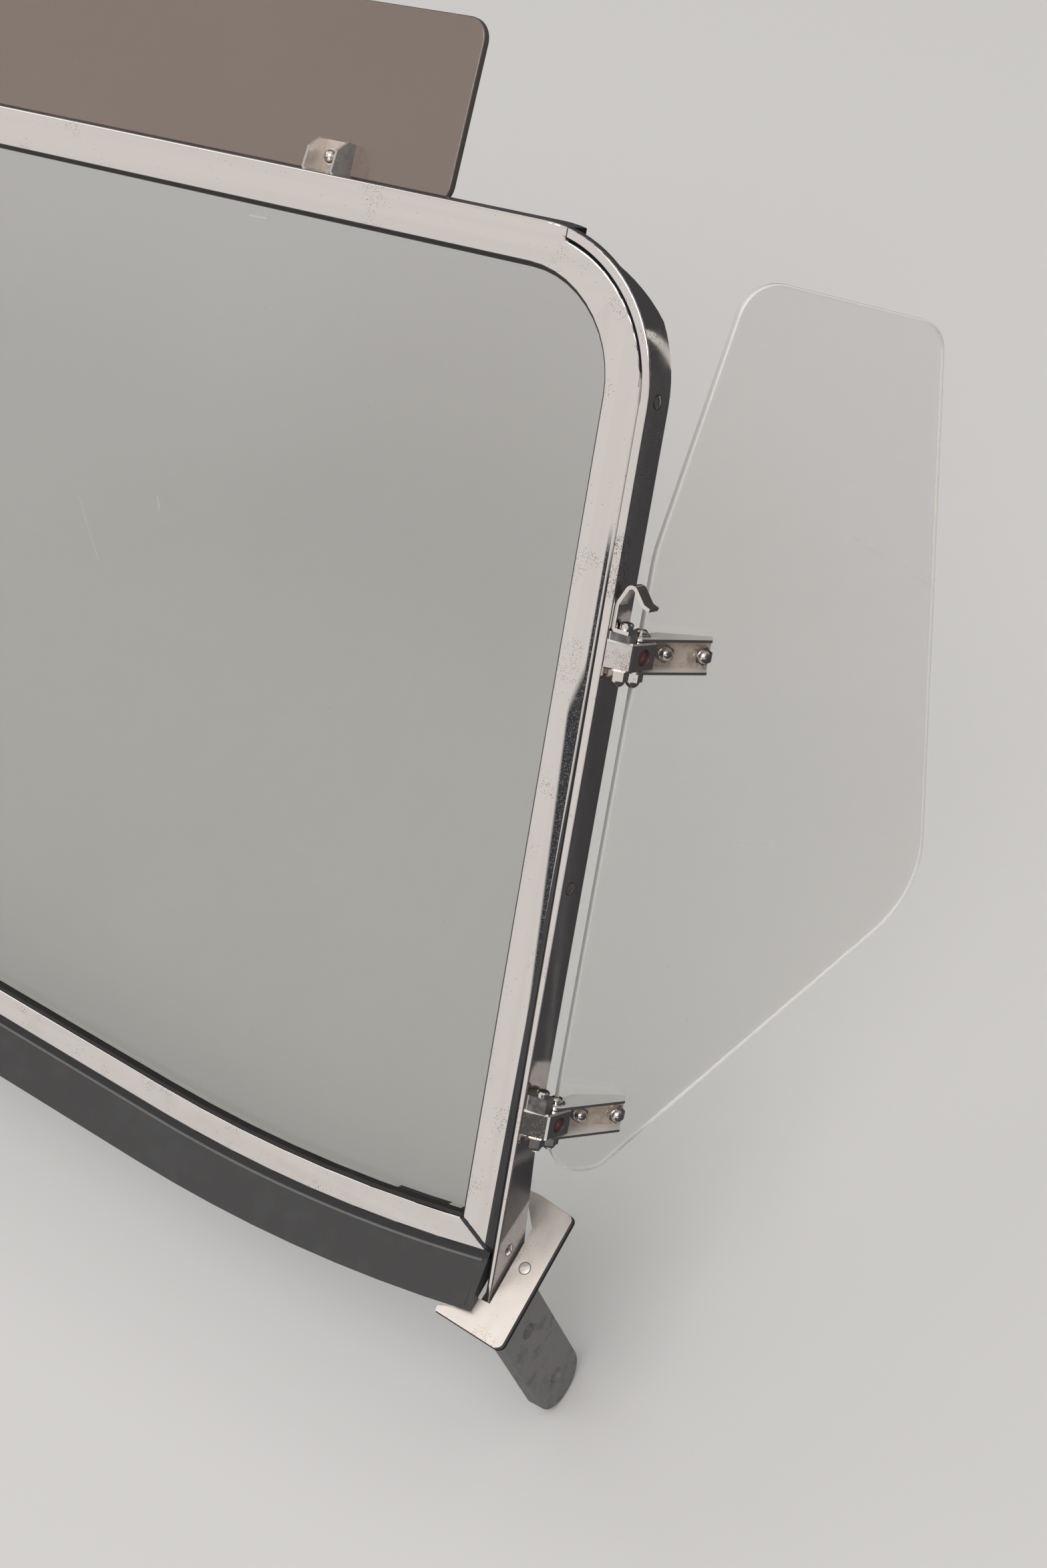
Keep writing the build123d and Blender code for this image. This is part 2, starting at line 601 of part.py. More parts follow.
for place, height in HINGE_HEIGHTS.items():
    with BuildPart() as hinge_block:
        with BuildSketch(plan(height, -BLOCK_TOP)):
            with BuildLine():
                Polyline(
                    (0, 0),
                    (BLOCK_FRONT_OUT, BLOCK_FRONT_SKEW),
                    (BLOCK_REAR_OUT, BLOCK_LENGTH),
                    (0, BLOCK_LENGTH),
                    close=True,
                )
            make_face()
            with Locations((AXIS_A, AXIS_B)):
                Circle(PIN_RADIUS + PIN_PLAY, mode=Mode.SUBTRACT)
            with Locations((BOLT_A, BOLT_B)):
                Circle(BOLT_RADIUS + PIN_PLAY, mode=Mode.SUBTRACT)
        extrude(amount=BLOCK_HEIGHT)
        chamfer(hinge_block.edges().filter_by(clear_of_post), BLOCK_EDGE)
        recess_at = screen_point(HALF_WIDTH + recess_a, height, -recess_b)
        with BuildSketch(Plane(origin=recess_at, x_dir=UP_SLOPE, z_dir=side_normal)):
            Circle(RECESS_RADIUS)
        extrude(amount=-RECESS_DEPTH, mode=Mode.SUBTRACT)
    keep_pair(hinge_block.part, f"{place}_hinge_block")


def bolt(plane, head_at, nut_at, shank, dome=DOME_RADIUS):
    """Slotted cheese head above, shank, and hexagon nut with a dome below, along the plane's z axis."""
    under = nut_at - NUT_HEIGHT
    with BuildSketch(Plane(origin=plane.origin, x_dir=plane.x_dir, z_dir=plane.y_dir * -1)) as half_section:
        with BuildLine():
            Polyline(
                (0, head_at + HEAD_HEIGHT),
                (HEAD_RADIUS - HEAD_HEIGHT / 4, head_at + HEAD_HEIGHT),
                (HEAD_RADIUS, head_at + HEAD_HEIGHT * 3 / 4),
                (HEAD_RADIUS, head_at),
                (shank, head_at),
                (shank, under),
                (dome, under),
            )
            ThreePointArc(
                (dome, under),
                (dome * cos(radians(45)), under - dome * sin(radians(45))),
                (0, under - dome),
            )
            Line((0, under - dome), (0, head_at + HEAD_HEIGHT))
        make_face()
    revolve(half_section.sketch, axis=Axis(plane.origin, plane.z_dir))
    with BuildSketch(plane.offset(nut_at)) as flats:
        RegularPolygon(NUT_FLATS / 2 * dome / DOME_RADIUS, 6, major_radius=False, rotation=30)
    extrude(flats.sketch, amount=-NUT_HEIGHT)
    with BuildSketch(plane.offset(head_at + HEAD_HEIGHT)) as slot:
        Rectangle(3 * HEAD_RADIUS, SLOT_WIDTH, rotation=25)
    extrude(slot.sketch, amount=-SLOT_DEPTH, mode=Mode.SUBTRACT)


def plan_point(a, b, v):
    """Plane at a point of the hinge's plan, its z axis up the post."""
    return Plane(origin=screen_point(HALF_WIDTH + a, v, -b), x_dir=ACROSS, z_dir=UP_SLOPE)


with BuildPart() as block_bolts:
    for place, height in HINGE_HEIGHTS.items():
        strip = HOOK_STRIP if place == "upper" else 0
        top = BLOCK_TOP + LUG_HEIGHTS[place] + strip
        bolt(plan_point(BOLT_A, BOLT_B, height), top, -BLOCK_TOP, BOLT_RADIUS, BLOCK_DOME_RADIUS)
keep_pair(block_bolts.part, "block_bolts")

# Hooks, clamped on the upper lugs
with BuildPart() as hook:
    lug_face = BLOCK_TOP + LUG_HEIGHTS["upper"]
    hook_plane = Plane(
        origin=screen_point(HALF_WIDTH, HINGE_HEIGHTS["upper"], -HOOK_FRONT), x_dir=ACROSS, z_dir=OUT_FACE
    )
    half = HOOK_STRIP / 2
    with BuildSketch(hook_plane):
        with BuildLine() as hook_line:
            FilletPolyline(
                (LUG_OUT, lug_face + half),
                (HOOK_GAP + half, lug_face + half),
                (HOOK_GAP + half, lug_face + 11.6),
                (6.2, lug_face + 21.8),
                (13.0, lug_face + 13.6),
                (16.2, lug_face + 12.5),
                radius=HOOK_BENDS,
            )
        trace(line_width=HOOK_STRIP)
    extrude(amount=-HOOK_WIDTH)
    with BuildSketch(plan(HINGE_HEIGHTS["upper"], lug_face)):
        with Locations((BOLT_A, BOLT_B)):
            Circle(BOLT_RADIUS + PIN_PLAY)
    extrude(amount=HOOK_STRIP, mode=Mode.SUBTRACT)
keep_pair(hook.part, "hook")

# Folded channels: flanges above and below the block, the web behind it
swing = radians(WING_ANGLE)
WING_OUT = ACROSS * sin(swing) + REARWARD * cos(swing)
WING_FACE = ACROSS * cos(swing) + OUT_FACE * sin(swing)


def wing_plan(v):
    """Plane square to the hinge axis: x out along the deflector, y towards its back."""
    origin = screen_point(HALF_WIDTH + AXIS_A, v, -AXIS_B)
    return Plane(origin=origin, x_dir=WING_OUT, z_dir=UP_SLOPE)


def web_plane(w, v, back):
    """Plane on the hinge's web side: z out of the deflector's front."""
    origin = screen_point(HALF_WIDTH + AXIS_A, v, -AXIS_B) + WING_OUT * w - WING_FACE * back
    return Plane(origin=origin, x_dir=WING_OUT, z_dir=WING_FACE)


for place, height in HINGE_HEIGHTS.items():
    with BuildPart() as channel:
        web_out = WEB_BACK + SHEET
        with BuildSketch(wing_plan(height - FLANGE_OUT)):
            Circle(CHANNEL_END)
            with BuildLine():
                Polyline(
                    (0, -CHANNEL_END),
                    (CHANNEL_LENGTH - CHANNEL_SLANT, WEB_BACK - CHANNEL_TIP),
                    (CHANNEL_LENGTH, web_out),
                    (WEB_START, web_out),
                    (THROAT_W, THROAT_BACK),
                    (0, CHANNEL_END),
                    close=True,
                )
            make_face()
            Circle(PIN_RADIUS + PIN_PLAY, mode=Mode.SUBTRACT)
        extrude(amount=2 * FLANGE_OUT)
        with BuildSketch(wing_plan(height - FLANGE_IN)):
            with Locations((0, WEB_BACK - FAR / 2)):
                Rectangle(FAR, FAR)
            with Locations((WEB_START - FAR / 2, 0)):
                Rectangle(FAR, 4 * CHANNEL_LENGTH)
        extrude(amount=2 * FLANGE_IN, mode=Mode.SUBTRACT)
        for w in WEB_BOLTS:
            with BuildSketch(web_plane(w, height, WEB_BACK)):
                Circle(BOLT_RADIUS + PIN_PLAY)
            extrude(amount=-2 * SHEET, mode=Mode.SUBTRACT)
    keep_pair(channel.part, f"{place}_channel")

with BuildPart() as pivot_pins:
    for height in HINGE_HEIGHTS.values():
        bolt(plan_point(AXIS_A, AXIS_B, height), FLANGE_OUT, -FLANGE_OUT, PIN_RADIUS)
keep_pair(pivot_pins.part, "pivot_pins")

# Deflector panel
panel_front = WEB_BACK + SHEET
panel_corners = [
    # w, v, corner radius
    (PANEL_FRONT, PANEL_NOSE_V, PANEL_NOSE_RADIUS),
    (PANEL_FRONT, TOP_HEIGHT - PANEL_BREAK_DROP, PANEL_BREAK_RADIUS),
    (PANEL_TOP_FRONT[0], TOP_HEIGHT - PANEL_TOP_FRONT[1], PANEL_TOP_FRONT_RADIUS),
    (PANEL_TOP_REAR[0], TOP_HEIGHT - PANEL_TOP_REAR[1], PANEL_TOP_REAR_RADIUS),
    (PANEL_LOW_REAR[0], TOP_HEIGHT - PANEL_LOW_REAR[1], PANEL_LOW_REAR_RADIUS),
]
with BuildPart() as panel:
    with BuildSketch(web_plane(0, 0, panel_front)):
        with BuildLine():
            FilletPolyline(
                *[(w, v) for w, v, _ in panel_corners],
                radius=[radius for _, _, radius in panel_corners],
                close=True,
            )
        make_face()
    extrude(amount=-PANEL_THICKNESS)
    fillet(panel.faces().group_by(SortBy.AREA)[-1].edges(), PANEL_EDGE)
    with BuildSketch(web_plane(0, 0, panel_front)):
        with Locations(*[(w, v) for w in WEB_BOLTS for v in HINGE_HEIGHTS.values()]):
            Circle(BOLT_RADIUS + PIN_PLAY)
    extrude(amount=-PANEL_THICKNESS, mode=Mode.SUBTRACT)
keep_pair(panel.part, "deflector_panel")

with BuildPart() as panel_bolts:
    for height in HINGE_HEIGHTS.values():
        for w in WEB_BOLTS:
            middle = web_plane(w, height, panel_front)
            bolt_plane = Plane(origin=middle.origin, x_dir=WING_OUT, z_dir=WING_FACE * -1)
            bolt(bolt_plane, PANEL_THICKNESS, -SHEET, BOLT_RADIUS)
keep_pair(panel_bolts.part, "panel_bolts")

# Visors: blocks behind the top rail, folded channels on pins across them, tinted panels
lean = radians(VISOR_LEAN)
VISOR_UP = UP_SLOPE * cos(lean) + REARWARD * sin(lean)
VISOR_FACE = OUT_FACE * cos(lean) + UP_SLOPE * sin(lean)
visor_in = VISOR_BLOCK_WIDTH / 2 + CHANNEL_PLAY
visor_out = visor_in + SHEET


def visor_section(u):
    """Plane square to the visor's axis: x up the visor, y towards its back."""
    origin = screen_point(u, VISOR_AXIS_V, VISOR_AXIS_N)
    return Plane(origin=origin, x_dir=VISOR_UP, z_dir=VISOR_UP.cross(VISOR_FACE * -1))


def visor_front(w, u, back):
    """Plane on the visor's web: x across the car, y up the visor."""
    origin = screen_point(u, VISOR_AXIS_V, VISOR_AXIS_N) + VISOR_UP * w - VISOR_FACE * back
    return Plane(origin=origin, x_dir=ACROSS, z_dir=VISOR_FACE)


with BuildPart() as visor_blocks:
    for u in VISOR_BRACKETS:
        with BuildSketch(Plane(origin=screen_point(u, VISOR_AXIS_V, -FRAME_DEPTH), x_dir=UP_SLOPE, z_dir=ACROSS)):
            with BuildLine():
                axis_back = VISOR_AXIS_N + FRAME_DEPTH
                half = VISOR_BLOCK_HEIGHT / 2
                Line((half, axis_back), (half, 0))
                Line((half, 0), (-half, 0))
                Line((-half, 0), (-half, axis_back))
                ThreePointArc((-half, axis_back), (0, axis_back - half), (half, axis_back))
            make_face()
            with Locations((0, axis_back)):
                Circle(PIN_RADIUS + PIN_PLAY, mode=Mode.SUBTRACT)
        extrude(amount=VISOR_BLOCK_WIDTH / 2, both=True)
keep_pair(visor_blocks.part, "visor_blocks")

with BuildPart() as visor_channels:
    for u in VISOR_BRACKETS:
        web_out = VISOR_WEB_BACK + SHEET
        with BuildSketch(visor_section(u)):
            Circle(VISOR_END)
            with BuildLine():
                Polyline(
                    (0, -VISOR_END),
                    (VISOR_CHANNEL_LENGTH - 5, -VISOR_END + 2),
                    (VISOR_CHANNEL_LENGTH, 3),
                    (VISOR_CHANNEL_LENGTH, web_out),
                    (VISOR_WEB_START, web_out),
                    (-VISOR_END * sin(radians(35)), VISOR_END * cos(radians(35))),
                    (0, 0),
                    close=True,
                )
            make_face()
            Circle(PIN_RADIUS + PIN_PLAY, mode=Mode.SUBTRACT)
        extrude(amount=visor_out, both=True)
        with BuildSketch(visor_section(u)):
            with Locations((0, VISOR_WEB_BACK - FAR / 2)):
                Rectangle(FAR, FAR)
            with Locations((VISOR_WEB_START - FAR / 2, 0)):
                Rectangle(FAR, 4 * VISOR_CHANNEL_LENGTH)
        extrude(amount=visor_in, both=True, mode=Mode.SUBTRACT)
        with BuildSketch(visor_front(VISOR_BOLT, u, VISOR_WEB_BACK)):
            Circle(BOLT_RADIUS + PIN_PLAY)
        extrude(amount=-2 * SHEET, mode=Mode.SUBTRACT)
keep_pair(visor_channels.part, "visor_channels")

with BuildPart() as visor_pins:
    for u in VISOR_BRACKETS:
        origin = screen_point(u, VISOR_AXIS_V, VISOR_AXIS_N)
        bolt(Plane(origin=origin, x_dir=VISOR_UP, z_dir=ACROSS), visor_out, -visor_out, PIN_RADIUS)
keep_pair(visor_pins.part, "visor_pins")

with BuildPart() as visor_panel:
    middle_u = (VISOR_INNER + VISOR_OUTER) / 2
    with BuildSketch(visor_front(0, middle_u, VISOR_WEB_BACK + SHEET)):
        with Locations((0, (VISOR_LOW + VISOR_HIGH) / 2)):
            RectangleRounded(VISOR_OUTER - VISOR_INNER, VISOR_HIGH - VISOR_LOW, VISOR_CORNER)
    extrude(amount=-VISOR_THICKNESS)
    fillet(visor_panel.faces().group_by(SortBy.AREA)[-1].edges(), VISOR_EDGE)
    with BuildSketch(visor_front(0, middle_u, VISOR_WEB_BACK + SHEET)):
        with Locations(*[(u - middle_u, VISOR_BOLT) for u in VISOR_BRACKETS]):
            Circle(BOLT_RADIUS + PIN_PLAY)
    extrude(amount=-VISOR_THICKNESS, mode=Mode.SUBTRACT)
keep_pair(visor_panel.part, "visor_panel")

with BuildPart() as visor_bolts:
    for u in VISOR_BRACKETS:
        middle = visor_front(VISOR_BOLT, u, VISOR_WEB_BACK + SHEET)
        bolt_plane = Plane(origin=middle.origin, x_dir=ACROSS, z_dir=VISOR_FACE * -1)
        bolt(bolt_plane, VISOR_THICKNESS, -SHEET, BOLT_RADIUS)
keep_pair(visor_bolts.part, "visor_bolts")
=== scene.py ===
import math

import bmesh
import bpy
import numpy as np
from bpy.props import FloatProperty, FloatVectorProperty, PointerProperty
from mathutils import Matrix, Vector


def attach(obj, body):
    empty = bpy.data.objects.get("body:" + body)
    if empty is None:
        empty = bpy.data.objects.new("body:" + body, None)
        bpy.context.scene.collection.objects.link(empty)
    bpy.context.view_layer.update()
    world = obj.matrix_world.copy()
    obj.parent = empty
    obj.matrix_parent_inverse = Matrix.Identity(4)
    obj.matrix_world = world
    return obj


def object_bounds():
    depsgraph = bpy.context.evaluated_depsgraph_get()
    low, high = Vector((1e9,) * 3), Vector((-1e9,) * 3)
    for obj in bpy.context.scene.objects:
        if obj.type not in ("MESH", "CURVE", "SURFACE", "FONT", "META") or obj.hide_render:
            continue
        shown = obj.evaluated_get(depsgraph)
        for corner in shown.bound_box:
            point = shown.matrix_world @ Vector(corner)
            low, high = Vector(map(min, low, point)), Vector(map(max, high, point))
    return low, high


bl_info = {
    "name": "Open Car Windscreen",
    "version": (1, 0, 0),
    "blender": (4, 5, 0),
    "location": "View3D > Sidebar > Windscreen",
    "description": "Finishes, fastenings and a studio for a windscreen with side deflectors and visors",
    "category": "Object",
}

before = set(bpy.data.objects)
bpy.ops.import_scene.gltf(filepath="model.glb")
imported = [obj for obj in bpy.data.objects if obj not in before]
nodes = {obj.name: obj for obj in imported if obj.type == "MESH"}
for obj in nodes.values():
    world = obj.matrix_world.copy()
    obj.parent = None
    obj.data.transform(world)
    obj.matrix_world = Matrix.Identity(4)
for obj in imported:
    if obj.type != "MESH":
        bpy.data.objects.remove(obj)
cad_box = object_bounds()

# All lengths are in metres
# The screen's own directions: across the car, up its slope and out of its face
RAKE = math.radians(42.0)
ACROSS = Vector((1.0, 0.0, 0.0))
UP_SLOPE = Vector((0.0, math.sin(RAKE), math.cos(RAKE)))
OUT_FACE = Vector((0.0, -math.cos(RAKE), math.sin(RAKE)))
FOOT = Vector((0.0, -0.0062, 0.075))
HALF_WIDTH = 0.606
TOP_HEIGHT = 0.4607
CORNER = 0.063

# The mitre from the daylight opening to the post, as u and v
MITRE_START, MITRE_END = (0.5838, 0.0294), (0.6017, 0.0190)

# The end of the post's lip, the joint's depth inside the outline, and the groove between frame and post
LIP_END = 0.5549
JOINT_IN = 0.0046
GROOVE_INNER, GROOVE_OUTER = 0.5970, 0.6047

# The base plates' own directions
PLATE_TILT = math.radians(7.0)
PLATE_UP = Vector((0.0, -math.sin(PLATE_TILT), math.cos(PLATE_TILT)))
PLATE_BACK = Vector((0.0, math.cos(PLATE_TILT), math.sin(PLATE_TILT)))

# The deflectors' directions as set, on the left; the right one mirrors them
SWING = math.radians(36.0)
WING_OUT = ACROSS * math.sin(SWING) - OUT_FACE * math.cos(SWING)
WING_FACE = ACROSS * math.cos(SWING) + OUT_FACE * math.sin(SWING)

# The hinges' heights, and how far their axis lies outside the posts and behind the screen's face
HINGES = (0.297, 0.0852)
AXIS_A, AXIS_B = 0.006, 0.0154

# How far the clear sheet lies behind the axis, and its outer bolts out from it
PANEL_BACK, BOLT_OUT = 0.0082, 0.0315

# The visors' direction and the line of their pins
VISOR_LEAN = math.radians(8.0)
VISOR_FACE = OUT_FACE * math.cos(VISOR_LEAN) + UP_SLOPE * math.sin(VISOR_LEAN)
VISOR_AXIS_V, VISOR_AXIS_N = 0.452, -0.028

# The height of the lower rail's face, and how far the apron under it lies back and flares with its drop
RAIL_FACE = 0.0135
APRON_BACK, APRON_FLARE = 0.001, 0.4

SIDES = (("left", 1), ("right", -1))

# Colours of dirt, dust and rust, and of painted shade and painted highlights
# Dark colour of dirt in the joints and of painted shade on the chrome
GRIME_AND_SHADE = (0.016, 0.017, 0.022)
SHADOWED = (0.008, 0.008, 0.009)
DUST = (0.20, 0.185, 0.17)
DULLED = (0.62, 0.60, 0.58)
RUST = (0.20, 0.085, 0.04)
# Painted highlight on the top of the rail's wall behind the pane
WALL_TOP_HIGHLIGHT = (0.98, 0.96, 0.93)
# Painted highlight on the hinge blocks' cut edges
EDGE_HIGHLIGHT = (0.86, 0.84, 0.81)
# Painted highlight on the channels' flanges
FLANGE_HIGHLIGHT = (0.90, 0.87, 0.83)
# Lighter grey of the apron's bead, a painted highlight
BEAD_HIGHLIGHT = (0.15, 0.145, 0.14)


def screen_point(u, v, n):
    """The foot of the screen plus u across, v up the slope and n out of the face, all in metres."""
    return FOOT + ACROSS * u + UP_SLOPE * v + OUT_FACE * n


def rail_line(u):
    """Height of the lower rail's upper edge at distance u from the centreline, for an array or a wire.

    From the middle: a crest of radius 2.87, a straight falling by 4 degrees, and a dip of radius 0.79.
    """
    u = abs(u)
    fall = math.radians(4.0)
    dip_u, dip_v, dip_radius, crest_radius = 0.455, 0.0188, 0.790, 2.870
    dip_end = dip_u - dip_radius * math.sin(fall)
    crest_end = crest_radius * math.sin(fall)
    dip_end_v = dip_v + dip_radius * (1.0 - math.cos(fall))
    crest_end_v = dip_end_v + (dip_end - crest_end) * math.tan(fall)
    dip = dip_v + dip_radius - (dip_radius**2 - (u - dip_u) ** 2) ** 0.5
    slope = dip_end_v + (dip_end - u) * math.tan(fall)
    crest = crest_end_v + (crest_radius**2 - u**2) ** 0.5 - crest_radius * math.cos(fall)
    lower = slope + (dip - slope) * (u > dip_end)
    return crest + (lower - crest) * (u > crest_end)


class Wire:
    """A socket in a material. Python's operators on it add the Math nodes that they stand for."""

    def __init__(self, graph, socket):
        self.graph = graph
        self.socket = socket

    def _math(self, operation, *values):
        return self.graph.node("ShaderNodeMath", {"operation": operation}, *values)

    def __add__(self, other):
        return self._math("ADD", self, other)

    def __radd__(self, other):
        return self._math("ADD", other, self)

    def __sub__(self, other):
        return self._math("SUBTRACT", self, other)

    def __rsub__(self, other):
        return self._math("SUBTRACT", other, self)

    def __mul__(self, other):
        return self._math("MULTIPLY", self, other)

    def __rmul__(self, other):
        return self._math("MULTIPLY", other, self)

    def __pow__(self, other):
        return self._math("POWER", self, other)

    def __gt__(self, other):
        return self._math("GREATER_THAN", self, other)

    def __abs__(self):
        return self._math("ABSOLUTE", self)

    def least(self, other):
        return self._math("MINIMUM", self, other)

    def most(self, other):
        return self._math("MAXIMUM", self, other)

    def clamp(self):
        return self.graph.node("ShaderNodeClamp", {}, self)

    def between(self, low, high):
        """0 at low and under, 1 at high and over, smooth from one to the other. Low may be the larger."""
        settings = {"interpolation_type": "SMOOTHSTEP"}
        if low < high:
            return self.graph.node("ShaderNodeMapRange", settings, self, low, high, 0.0, 1.0)
        return self.graph.node("ShaderNodeMapRange", settings, self, high, low, 1.0, 0.0)


def opaque(value):
    """A colour of three parts with its fourth, and anything else as it is."""
    return (*value, 1.0) if isinstance(value, tuple) and len(value) == 3 else value


class Graph:
    """A node tree under construction, for a material or the world."""

    def __init__(self, tree):
        self.tree = tree
        tree.nodes.clear()

    def node(self, kind, settings, *values, out=0, **named):
        """Adds a node: its settings first, then values or links for its sockets by order or by name."""
        new = self.tree.nodes.new(kind)
        for key, value in settings.items():
            setattr(new, key, value)
        for index, value in enumerate(values):
            self._feed(new.inputs[index], value)
        for key, value in named.items():
            self._feed(new.inputs[key.replace("_", " ")], value)
        return Wire(self, new.outputs[out]) if new.outputs else new

    def _feed(self, socket, value):
        if isinstance(value, Wire):
            self.tree.links.new(value.socket, socket)
        else:
            socket.default_value = value

    def vector_math(self, operation, *values, out="Vector"):
        return self.node("ShaderNodeVectorMath", {"operation": operation}, *values, out=out)

    def place(self):
        """Where a point lies on its piece."""
        return self.node("ShaderNodeTexCoord", {}, out="Object")

    def facing(self):
        """Which way a point's surface looks, in its piece's own directions."""
        return self.node("ShaderNodeTexCoord", {}, out="Normal")

    def along(self, vector, direction, start=(0.0, 0.0, 0.0)):
        """How far vector reaches along a direction, counted from start."""
        reach = self.vector_math("DOT_PRODUCT", vector, tuple(direction), out="Value")
        offset = Vector(start).dot(Vector(direction))
        return reach - offset if offset else reach

    def folded(self, vector):
        """The vector as it would be on the left, so that left and right share one pattern."""
        side = self.node("ShaderNodeMath", {"operation": "SIGN"}, self.along(self.place(), ACROSS))
        return self.vector_math("MULTIPLY", vector, self.vector(side, 1.0, 1.0))

    def away(self, place, point):
        """Distance from a point."""
        return self.vector_math("DISTANCE", place, point, out="Value")

    def vector(self, x, y, z):
        return self.node("ShaderNodeCombineXYZ", {}, x, y, z)

    def noise(self, vector, scale, detail=2.0, roughness=0.5, distortion=0.0):
        """Clouds from 0 to 1, with a scale in waves a metre."""
        return self.node(
            "ShaderNodeTexNoise",
            {},
            Vector=vector,
            Scale=scale,
            Detail=detail,
            Roughness=roughness,
            Distortion=distortion,
        )

    def cells(self, vector, scale):
        """Distance to the nearest of many scattered points, in cells, with a scale in cells a metre."""
        return self.node("ShaderNodeTexVoronoi", {}, Vector=vector, Scale=scale)

    def blend(self, factor, first, second):
        """A colour part way from the first to the second: sockets 6 and 7 are a Mix node's colours."""
        blended = self.node("ShaderNodeMix", {"data_type": "RGBA"}, factor, out=2)
        for index, value in ((6, first), (7, second)):
            self._feed(blended.socket.node.inputs[index], opaque(value))
        return blended

    def mix(self, factor, first, second):
        """A shader part way from the first to the second."""
        return self.node("ShaderNodeMixShader", {}, factor, first, second)

    def bump(self, height, strength, distance):
        return self.node("ShaderNodeBump", {}, Strength=strength, Distance=distance, Height=height)

    def principled(self, **sockets):
        sockets["Base_Color"] = opaque(sockets["Base_Color"])
        return self.node("ShaderNodeBsdfPrincipled", {}, **sockets)

    def ends(self, surface):
        self.node("ShaderNodeOutputMaterial", {}, Surface=surface)


def new_material(name):
    material = bpy.data.materials.new(name)
    material.use_nodes = True
    return material, Graph(material.node_tree)


def colour(values):
    return tuple(values[:3])


def scaled(tint, share):
    return tuple(c * share for c in tint)


class ChromeSettings(bpy.types.PropertyGroup):
    """Polished metal of the frame, posts and fittings"""

    tint: FloatVectorProperty(
        name="Chrome",
        description="Colour of the polished metal",
        subtype="COLOR",
        default=(0.80, 0.755, 0.725),
        min=0.0,
        max=1.0,
    )
    worn: FloatVectorProperty(
        name="Worn chrome",
        description="Colour of pits and scars in the plating",
        subtype="COLOR",
        default=(0.10, 0.085, 0.075),
        min=0.0,
        max=1.0,
    )
    # Warm painted reflection on the web inside the folded channels
    web_reflection: FloatVectorProperty(
        name="Inside of the folds",
        description="Warm, aged plating inside the folded channels",
        subtype="COLOR",
        default=(0.64, 0.54, 0.45),
        min=0.0,
        max=1.0,
    )
    # Darker brown patches in the web's painted reflection
    web_reflection_patches: FloatVectorProperty(
        name="Tarnish",
        description="Brown patches inside the folded channels",
        subtype="COLOR",
        default=(0.30, 0.215, 0.15),
        min=0.0,
        max=1.0,
    )
    copper: FloatVectorProperty(
        name="Recess",
        description="Bare metal in the round recesses of the blocks",
        subtype="COLOR",
        default=(0.17, 0.095, 0.09),
        min=0.0,
        max=1.0,
    )
    steel: FloatVectorProperty(
        name="Leg steel",
        description="Colour of the brushed legs",
        subtype="COLOR",
        default=(0.47, 0.455, 0.44),
        min=0.0,
        max=1.0,
    )


class SheetSettings(bpy.types.PropertyGroup):
    """Glass, acrylic and rubber"""

    pane: FloatVectorProperty(
        name="Pane",
        description="What one surface of the glass lets through",
        subtype="COLOR",
        default=(0.70, 0.70, 0.685),
        min=0.0,
        max=1.0,
    )
    clear: FloatVectorProperty(
        name="Deflectors",
        description="What one surface of the clear acrylic lets through",
        subtype="COLOR",
        default=(0.955, 0.95, 0.94),
        min=0.0,
        max=1.0,
    )
    # The clear edges' pale colour is a painted highlight, the glow of light in the edge
    edge: FloatVectorProperty(
        name="Deflector edges",
        description="Colour of the clear acrylic's sawn and polished edges",
        subtype="COLOR",
        default=(0.86, 0.84, 0.80),
        min=0.0,
        max=1.0,
    )
    smoke: FloatVectorProperty(
        name="Visors",
        description="What one surface of the smoked acrylic lets through",
        subtype="COLOR",
        default=(0.34, 0.27, 0.235),
        min=0.0,
        max=1.0,
    )
    smoke_edge: FloatVectorProperty(
        name="Visor edges",
        description="Colour of the smoked acrylic's edges",
        subtype="COLOR",
        default=(0.10, 0.085, 0.078),
        min=0.0,
        max=1.0,
    )
    rubber: FloatVectorProperty(
        name="Rubber",
        description="Colour of the seals and pads",
        subtype="COLOR",
        default=(0.018, 0.017, 0.017),
        min=0.0,
        max=1.0,
    )


class ScrewSettings(bpy.types.PropertyGroup):
    """Countersunk screws in the posts and base plates"""

    radius: FloatProperty(
        name="Head radius",
        description="Radius of a screw's head",
        subtype="DISTANCE",
        default=0.0026,
        min=0.001,
        max=0.01,
    )
    crown: FloatProperty(
        name="Crown",
        description="How far the head's middle stands above its rim",
        subtype="DISTANCE",
        default=0.0007,
        min=0.0,
        max=0.003,
    )
    slot: FloatProperty(
        name="Slot width",
        description="Width of the driver's slot",
        subtype="DISTANCE",
        default=0.0007,
        min=0.0002,
        max=0.002,
    )


class WasherSettings(bpy.types.PropertyGroup):
    """Washers under the heads of the pivots"""

    radius: FloatProperty(
        name="Radius",
        description="Outer radius of a washer",
        subtype="DISTANCE",
        default=0.0043,
        min=0.003,
        max=0.008,
    )
    thickness: FloatProperty(
        name="Thickness",
        description="Thickness of a washer",
        subtype="DISTANCE",
        default=0.0006,
        min=0.0002,
        max=0.002,
    )


class BeadSettings(bpy.types.PropertyGroup):
    """The bead along the rubber apron"""

    drop: FloatProperty(
        name="Drop",
        description="How far the bead lies under the lower rail",
        subtype="DISTANCE",
        default=0.0038,
        min=0.001,
        max=0.01,
    )
    radius: FloatProperty(
        name="Radius",
        description="Radius of the bead",
        subtype="DISTANCE",
        default=0.0007,
        min=0.0003,
        max=0.002,
    )


